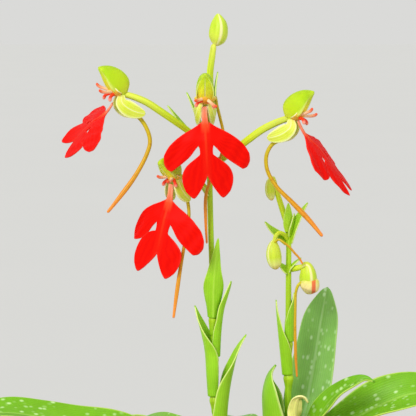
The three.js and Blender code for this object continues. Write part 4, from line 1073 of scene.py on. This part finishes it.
def stalk_skin(name, shades, streaks=0.25, speckle=0, seam=None, stripe=None):
    """The skin of a stem, spur or bud: smooth and fleshy, with faint streaks that run along it. `seam`
    colours the three seams of a bud, and `stripe` gives the place in millimetres of one red stripe."""
    material, add = new_material(name, Roughness=0.38, **FLESH)
    up = add("Attribute", attribute_name="along").outputs["Fac"]
    colour = add("ValToRGB", {"Fac": up}, stops=shades).outputs["Color"]
    texture = add("TexCoord")
    streak = add("Mapping", {"Vector": texture.outputs["UV"], "Scale": (14, 1.5, 1)}).outputs[0]
    lines = add("TexNoise", {"Vector": streak, "Scale": 1, "Detail": 3}).outputs["Fac"]
    grain = add("TexNoise", {
        "Vector": texture.outputs["Object"], "Scale": 1 / (1.2 * MM), "Detail": 4,
    }).outputs["Fac"]
    colour = toned(add, colour, lines, (0.3, 0.7), (1 - streaks, 1 + streaks * 0.6))
    if speckle:
        colour = overlaid(add, colour, "#A85818", grain, (0.55, 0.7), (0, speckle), "LINEAR")
    if seam:
        around = add("SeparateXYZ", {"Vector": texture.outputs["UV"]}).outputs["X"]
        third = add("Math", {0: around, 1: 3}, operation="MULTIPLY").outputs[0]
        near = add("Math", {0: third, 1: 0.5}, operation="PINGPONG").outputs[0]
        colour = overlaid(add, colour, seam, near, (0.02, 0.12), (0.9, 0))
    if stripe:
        place = add("SeparateXYZ", {"Vector": texture.outputs["Object"]}).outputs["X"]
        away = add("Math", {0: place, 1: stripe * MM}, operation="SUBTRACT").outputs[0]
        away = add("Math", {0: away}, operation="ABSOLUTE").outputs[0]
        colour = overlaid(add, colour, "#E4502C", away, (0.5 * MM, 0.9 * MM), (0.85, 0))
    return clad(material, colour, grain, 0.05)


def lip_skin():
    """Orchid lip: thin, velvety and saturated red, with fine cells that catch the light, a pale pink
    claw, an orange line down its middle and a lighter rim."""
    material, add = new_material(
        "lip_petal_red", Roughness=0.5, Subsurface_Weight=0.05, Subsurface_Radius=(1.0, 0.2, 0.1),
        Subsurface_Scale=MM, Specular_IOR_Level=0.08, IOR=1.4,
    )
    texture = add("TexCoord")
    flat = add("SeparateXYZ", {"Vector": texture.outputs["UV"]})
    aside = add("Math", {0: flat.outputs["X"]}, operation="ABSOLUTE").outputs[0]
    down = add("Math", {0: flat.outputs["Y"], 1: 100 / LIP_LENGTH}, operation="MULTIPLY")
    claw = add("ValToRGB", {"Fac": down.outputs[0]}, stops=(
        (0.0, "#F8B48C"), (0.11, "#F4906A"), (0.2, "#EE4C26"), (0.3, "#E41404"),
    )).outputs["Color"]
    low = add("Math", {0: flat.outputs["Y"], 1: 0.09}, operation="SUBTRACT").outputs[0]
    fan = add("Math", {0: flat.outputs["X"], 1: low}, operation="ARCTAN2").outputs[0]
    waver = add("TexNoise", {"Vector": texture.outputs["UV"], "Scale": 25, "Detail": 2})
    fan = add("Math", {0: waver.outputs["Fac"], 1: 0.25, 2: fan}, operation="MULTIPLY_ADD")
    fan = add("Math", {0: fan.outputs[0], 1: 46}, operation="MULTIPLY").outputs[0]
    veins = add("Math", {0: fan}, operation="SINE").outputs[0]
    veins = add("MapRange", {"Value": veins, "From Min": -1, "From Max": 1}).outputs[0]
    red = add("Mix", {0: veins, 6: "#E00700", 7: "#E80C00"}, data_type="RGBA").outputs[2]
    colour = overlaid(add, claw, red, aside, (0.008, 0.02), (0, 1))
    line = add("MapRange", {
        "Value": aside, "From Min": 0.001, "From Max": 0.006, "To Min": 0.4, "To Max": 0,
    }, interpolation_type="SMOOTHSTEP").outputs[0]
    fade = add("MapRange", {
        "Value": flat.outputs["Y"], "From Min": 0.11, "From Max": 0.24, "To Min": 1, "To Max": 0,
    }).outputs[0]
    line = add("Math", {0: line, 1: fade}, operation="MULTIPLY").outputs[0]
    colour = add("Mix", {0: line, 6: colour, 7: "#F04A20"}, data_type="RGBA").outputs[2]
    rim = add("Attribute", attribute_name="rim").outputs["Fac"]
    colour = overlaid(add, colour, "#F84838", rim, (0, 1), (0, 0.3), "LINEAR")
    cells = add("TexVoronoi", {"Vector": texture.outputs["UV"], "Scale": 260}).outputs["Distance"]
    height = add("Math", {0: cells, 1: 0.5, 2: veins}, operation="MULTIPLY_ADD").outputs[0]
    return clad(material, colour, height, 0.008)


def terracotta():
    """Fired red clay, turned and unglazed: dry and matt, with fine turning lines, darker damp stains
    and a pale bloom of lime, strongest towards the foot."""
    material, add = new_material("terracotta_clay", Roughness=0.85, IOR=1.5)
    place = add("TexCoord").outputs["Object"]
    cloud = add("TexNoise", {
        "Vector": place, "Scale": 1 / (28 * MM), "Detail": 6, "Roughness": 0.65,
    }).outputs["Fac"]
    clay = add("ValToRGB", {"Fac": cloud}, stops=(
        (0.3, "#9A4C2C"), (0.5, "#B8633C"), (0.72, "#C97C54"),
    )).outputs["Color"]
    rings = add("TexWave", {
        "Vector": place, "Scale": TURN / 20 / (1.6 * MM), "Distortion": 0.6, "Detail": 3,
    }, bands_direction="Z").outputs["Fac"]
    grit = add("TexNoise", {"Vector": place, "Scale": 1 / (0.7 * MM), "Detail": 5}).outputs["Fac"]
    lime = add("TexNoise", {
        "Vector": place, "Scale": 1 / (14 * MM), "Detail": 8, "Roughness": 0.7,
    }).outputs["Fac"]
    foot = add("MapRange", {
        "Value": add("SeparateXYZ", {"Vector": place}).outputs["Z"],
        "From Min": 0, "From Max": 0.05, "To Min": 0.34, "To Max": 0,
    }).outputs[0]
    lime = add("Math", {0: lime, 1: foot}, operation="ADD").outputs[0]
    colour = overlaid(add, clay, "#DCC8B4", lime, (0.56, 0.85), (0, 0.7), "LINEAR")
    height = add("Math", {0: rings, 1: 0.5, 2: grit}, operation="MULTIPLY_ADD").outputs[0]
    return clad(material, colour, height, 0.18)


def crumb_skin(name, shades, grain, depth):
    """A dry, matt, broken surface, such as bark or perlite, coloured by noise of the grain's size."""
    material, add = new_material(name, Roughness=0.95)
    place = add("TexCoord").outputs["Object"]
    coarse = add("TexNoise", {
        "Vector": place, "Scale": 1 / (grain * 5 * MM), "Detail": 6, "Roughness": 0.7,
    }).outputs["Fac"]
    fine = add("TexNoise", {"Vector": place, "Scale": 1 / (grain * MM), "Detail": 4}).outputs["Fac"]
    colour = add("ValToRGB", {"Fac": coarse}, stops=shades).outputs["Color"]
    return clad(material, colour, fine, depth)


# Stage, lights and camera


def make_stage():
    bpy.ops.object.select_all(action="DESELECT")
    bpy.ops.mesh.primitive_plane_add(size=40)
    floor = bpy.context.object
    floor.name = "floor"
    material, add = new_material("pale_floor", Roughness=0.9, Specular_IOR_Level=0)
    place = add("TexCoord").outputs["Object"]
    faint = add("TexNoise", {"Vector": place, "Scale": 3, "Detail": 2}).outputs["Fac"]
    colour = add("Mix", {0: faint, 6: "#CFCFCD", 7: "#D1D1CF"}, data_type="RGBA").outputs[2]
    material.node_tree.links.new(colour, material.node_tree.nodes["Principled BSDF"].inputs["Base Color"])
    floor.data.materials.append(material)
    world = bpy.data.worlds.new("studio")
    world.use_nodes = True
    background = world.node_tree.nodes["Background"]
    background.inputs["Color"].default_value = linear(STUDIO_WHITE)
    background.inputs["Strength"].default_value = 1
    bpy.context.scene.world = world
    bpy.context.scene.view_settings.view_transform = "Standard"


def add_light(name, place, softness, power):
    """A far soft lamp at `place`, aimed at the flowers. `softness` is how wide it looks, in degrees."""
    lamp = bpy.data.lights.new(name, "SUN")
    lamp.angle = math.radians(softness)
    lamp.energy = power
    holder = bpy.data.objects.new(name, lamp)
    bpy.context.scene.collection.objects.link(holder)
    holder.location = place
    aim = Vector(CAMERA_TARGET) * MM - Vector(place)
    holder.rotation_euler = aim.to_track_quat("-Z", "Y").to_euler()


def make_camera():
    lens = bpy.data.cameras.new("camera")
    lens.lens = lens.sensor_width * CAMERA_DISTANCE / VIEW_WIDTH
    camera = bpy.data.objects.new("camera", lens)
    bpy.context.scene.collection.objects.link(camera)
    tilt = math.radians(CAMERA_ELEVATION)
    away = Vector((0, -math.cos(tilt), math.sin(tilt))) * CAMERA_DISTANCE
    camera.location = (Vector(CAMERA_TARGET) + away) * MM
    camera.rotation_euler = (math.radians(90) - tilt, 0, 0)
    bpy.context.scene.camera = camera


make_camera()
make_stage()
add_light("key", place=(-0.6, -1.0, 0.9), softness=25, power=2.1)
add_light("fill", place=(0.9, -0.6, 0.7), softness=50, power=0.4)

clay = terracotta()
lip_red = lip_skin()
mix_dark = crumb_skin(
    "composted_bark_mix", ((0.3, "#2A1D14"), (0.5, "#4A3626"), (0.7, "#6E533A")), grain=1, depth=0.5
)
bark = crumb_skin(
    "pine_bark_chip", ((0.3, "#4A2E1C"), (0.5, "#7A4E30"), (0.72, "#A47850")), grain=0.8, depth=0.4
)
perlite = crumb_skin("perlite_grain", ((0.3, "#CFCBC2"), (0.6, "#F2F0EA")), grain=0.6, depth=0.2)
stem_skin = stalk_skin("stem_green", ((0, "#8CBC20"), (0.4, "#9CCA22"), (1, "#B4D42A")))
ovary_skin = stalk_skin(
    "ovary_yellow_green", ((0, "#B8D628"), (0.5, "#CCE02A"), (1, "#DCE25C")), streaks=0.3
)
spur_skin = stalk_skin(
    "spur_ochre", ((0, "#CCCC28"), (0.4, "#D0AC1E"), (0.75, "#DC9424"), (1, "#F08C38")), speckle=0.35
)
hood_skin = leaf_skin(
    "hood_green", ((0, "#DCE23C"), (0.3, "#C0DA18"), (0.8, "#B0D612"), (1, "#C4DE2C")), "#E8F07A", edge=0.84
)
petal_skin = leaf_skin(
    "petal_yellow_green", ((0, "#F8A84C"), (0.3, "#F8D838"), (0.55, "#ECEC30"), (1, "#BCE01C")), "#F4F6B8",
    edge=0.8,
)
# The pale line given as this sepal's midrib is a painted highlight along its fold
sepal_skin = leaf_skin(
    "side_sepal_green_painted_fold_highlight", ((0, "#E4E670"), (0.4, "#CEDA3C"), (1, "#D4DC54")), "#F2F4B4", edge=0.62,
    midrib="#F0F2B8",
)
column_skin = stalk_skin("column_flesh", ((0, "#F0B848"), (0.4, "#EC8C28"), (1, "#F0B838")), streaks=0.12)
upper_arm_skin = stalk_skin(
    "upper_arm_flesh",
    ((0, "#E8D88C"), (0.35, "#F6D4AC"), (0.7, "#F4A880"), (0.9, "#EE5428"), (1, "#EE5428")), streaks=0.1,
)
lower_arm_skin = stalk_skin(
    "lower_arm_flesh", ((0, "#F0A060"), (0.3, "#F04420"), (0.75, "#F03C1C"), (1, "#F8B098")), streaks=0.1
)
bract_skin = leaf_skin(
    "bract_green", ((0, "#B0D428"), (0.6, "#9CCC2C"), (1, "#A8D040")), "#DCEA90", edge=0.75
)
sheath_skin = leaf_skin(
    "sheath_leaf_green", ((0, "#8CC41E"), (0.5, "#98CE26"), (1, "#9CCC34")), "#DCEA88", midrib="#B4DC4C"
)
leaf_green = leaf_skin(
    "spotted_leaf_green", ((0, "#A0CC34"), (0.3, "#7CB61C"), (1, "#68A818")), "#BCD85C", edge=0.95,
    midrib="#A0CC58", spots=("#C8E8A0", 1.9, 1.5),
)
back_leaf = leaf_skin(
    "grey_green_leaf", ((0, "#98C45C"), (0.3, "#80B450"), (1, "#7CB054")), "#A8CC70", edge=0.95,
    midrib="#A4CC84", spots=("#BCDCA4", 1.9, 1.6),
)
funnel_leaf = leaf_skin("funnel_leaf_green", ((0, "#9CD030"), (1, "#88C424")), "#DCE890", midrib="#B0DC50")
pale_leaf = leaf_skin("young_leaf_yellow", ((0, "#B8C84A"), (0.5, "#DCE070"), (1, "#E0DC84")), "#F0ECA0")
bud_skin = stalk_skin(
    "bud_green", ((0, "#F0D8A0"), (0.12, "#D4E04C"), (0.6, "#C0DC2C"), (1, "#CCE04C")), streaks=0.12,
    seam="#F0E8A8",
)
young_bud_skin = stalk_skin(
    "young_bud_green", ((0, "#D4E050"), (0.6, "#C8DE38"), (0.85, "#E4E480"), (1, "#ECB070")), streaks=0.12,
    seam="#E8EC98",
)
belly_skin = stalk_skin(
    "bud_pale_yellow", ((0, "#E0E060"), (0.45, "#ECE08C"), (1, "#F0D898")), streaks=0.12, stripe=22.6
)

# Pot and filling

settle(make_pot(), "clay_pot", clay, "terracotta", "pot")
settle(make_soil(), "mix_bed", mix_dark, "potting_mix", "potting_mix")
chips = scatter(150, random.Random(3), low=(1.2, 0.8, 0.5), high=(4.6, 2.6, 1.5), clear=3.6, sink=0.1)
settle(chips, "bark_chips", bark, "potting_mix")
grains = scatter(90, random.Random(5), low=(0.6, 0.6, 0.5), high=(1.4, 1.2, 1.0), clear=3, sink=0.2)
settle(grains, "perlite_grains", perlite, "potting_mix")

# Stems

for name, shape in STEMS.items():
    stem = finish(tube(**shape, around=20, ribs=5, rib_depth=0.05))
    settle(stem, f"{name}_stem", stem_skin, "stem_green", f"stem_{name}")
for name, path, radii in zip(("left", "right", "centre", "lower"), MAIN_STALKS, STALK_RADII):
    path = [*path, FLOWERS[name]["at"]]
    ovary = finish(tube(path, radii, around=16, rows=30, ribs=6, rib_depth=0.06))
    settle(ovary, f"{name}_ovary", ovary_skin, "stem_green")
settle(finish(tube(**TOP_STALK, around=16, rows=20)), "top_bud_stalk", ovary_skin, "stem_green")
for i, (stalk, bud) in enumerate(zip(SECOND_STALKS, (*SECOND_BUDS, BUD_CAP)), 1):
    stalk = finish(tube([*stalk["points"], bud["points"][1]], stalk["radii"], around=16, rows=20))
    settle(stalk, f"bud_stalk_{i}", ovary_skin, "stem_green")
for name, bracts in (("main", MAIN_BRACTS), ("second", SECOND_BRACTS)):
    for i, shape in enumerate(bracts, 1):
        settle(make_bract(**shape), f"{name}_bract_{i}", bract_skin, "stem_green")

# Leaves

for name, shape in SHEATHS.items():
    if name == "main_4":
        shape = {**shape, "spine": rooted(shape["spine"])}
    else:
        collar = make_collar(shape["spine"], shape["face"], shape["curl"])
        settle(collar, f"sheath_collar_{name}", stem_skin, "stem_green")
    leaf = finish(blade(**shape, groove=0.15, rows=36, columns=16), SHEATH_THICK)
    settle(leaf, f"sheath_leaf_{name}", sheath_skin, "sheath_green", f"sheath_{name}")
for name, shape in BASAL_LEAVES.items():
    shape = {**shape, "spine": rooted(shape["spine"]), "columns": 18}
    leaf = finish(blade(**shape, waves=2.5, groove=0.35, rows=48), LEAF_THICK)
    skin = {"a": funnel_leaf, "b": pale_leaf, "c": back_leaf}.get(name, leaf_green)
    slot = "pale_leaf" if name == "b" else "leaf_green"
    settle(leaf, f"basal_leaf_{name}", skin, slot, f"leaf_{name}")

# Flowers

for name, flower in FLOWERS.items():
    to = flower_axes(flower["at"], flower["azimuth"], flower.get("pitch", 0), flower.get("size", 1))
    node = f"flower_{name}"
    hangs = flower.get("side_sepals", ({}, {}))
    settle(make_hood(to), f"{name}_hood", hood_skin, "sepal_green", f"{node}_sepals")
    settle(make_petals(to), f"{name}_petals", petal_skin, "sepal_green")
    side_sepals = join([make_side_sepal(to, hand, **hang) for hand, hang in zip((1, -1), hangs)])
    settle(side_sepals, f"{name}_side_sepals", sepal_skin, "sepal_green")
    neck = finish(tube([to(*point) for point in NECK], [1.2, 1.8, 1.5], around=16, rows=8))
    settle(neck, f"{name}_neck", ovary_skin, "sepal_green")
    settle(make_column(to), f"{name}_column", column_skin, "column_pink", f"{node}_column")
    upper = make_arms(to, UPPER_ARMS, UPPER_ARM_RADII, **flower.get("arms", {}))
    settle(upper, f"{name}_upper_arms", upper_arm_skin, "column_pink")
    lower = make_arms(to, LOWER_ARMS, LOWER_ARM_RADII)
    settle(lower, f"{name}_lower_arms", lower_arm_skin, "column_pink")
    settle(make_lip(**flower["lip"]), f"{name}_lip", lip_red, "lip_red", f"{node}_lip")
    spur = finish(tube(flower["spur"], flower["spur_radii"], around=14, rows=70, ribs=2, rib_depth=0.05))
    settle(spur, f"{name}_spur", spur_skin, "spur_ochre", f"{node}_spur")

# Buds

settle(make_bud(**TOP_BUD), "top_bud", bud_skin, "bud_green", "bud_top")
for i, bud in enumerate(SECOND_BUDS, 1):
    settle(make_bud(**bud), f"side_bud_{i}", young_bud_skin, "bud_green", f"bud_second_{i}")
settle(make_bud(**BUD_CAP), "side_bud_3_cap", bud_skin, "bud_green", "bud_second_3_cap")
settle(make_bud(**BUD_BELLY), "side_bud_3_belly", belly_skin, "bud_yellow", "bud_second_3_belly")
for name, spur in BUD_SPURS.items():
    piece = finish(tube(**spur, around=12, rows=30))
    settle(piece, f"bud_{name}_spur", spur_skin, "spur_ochre", f"bud_{name}_spur")
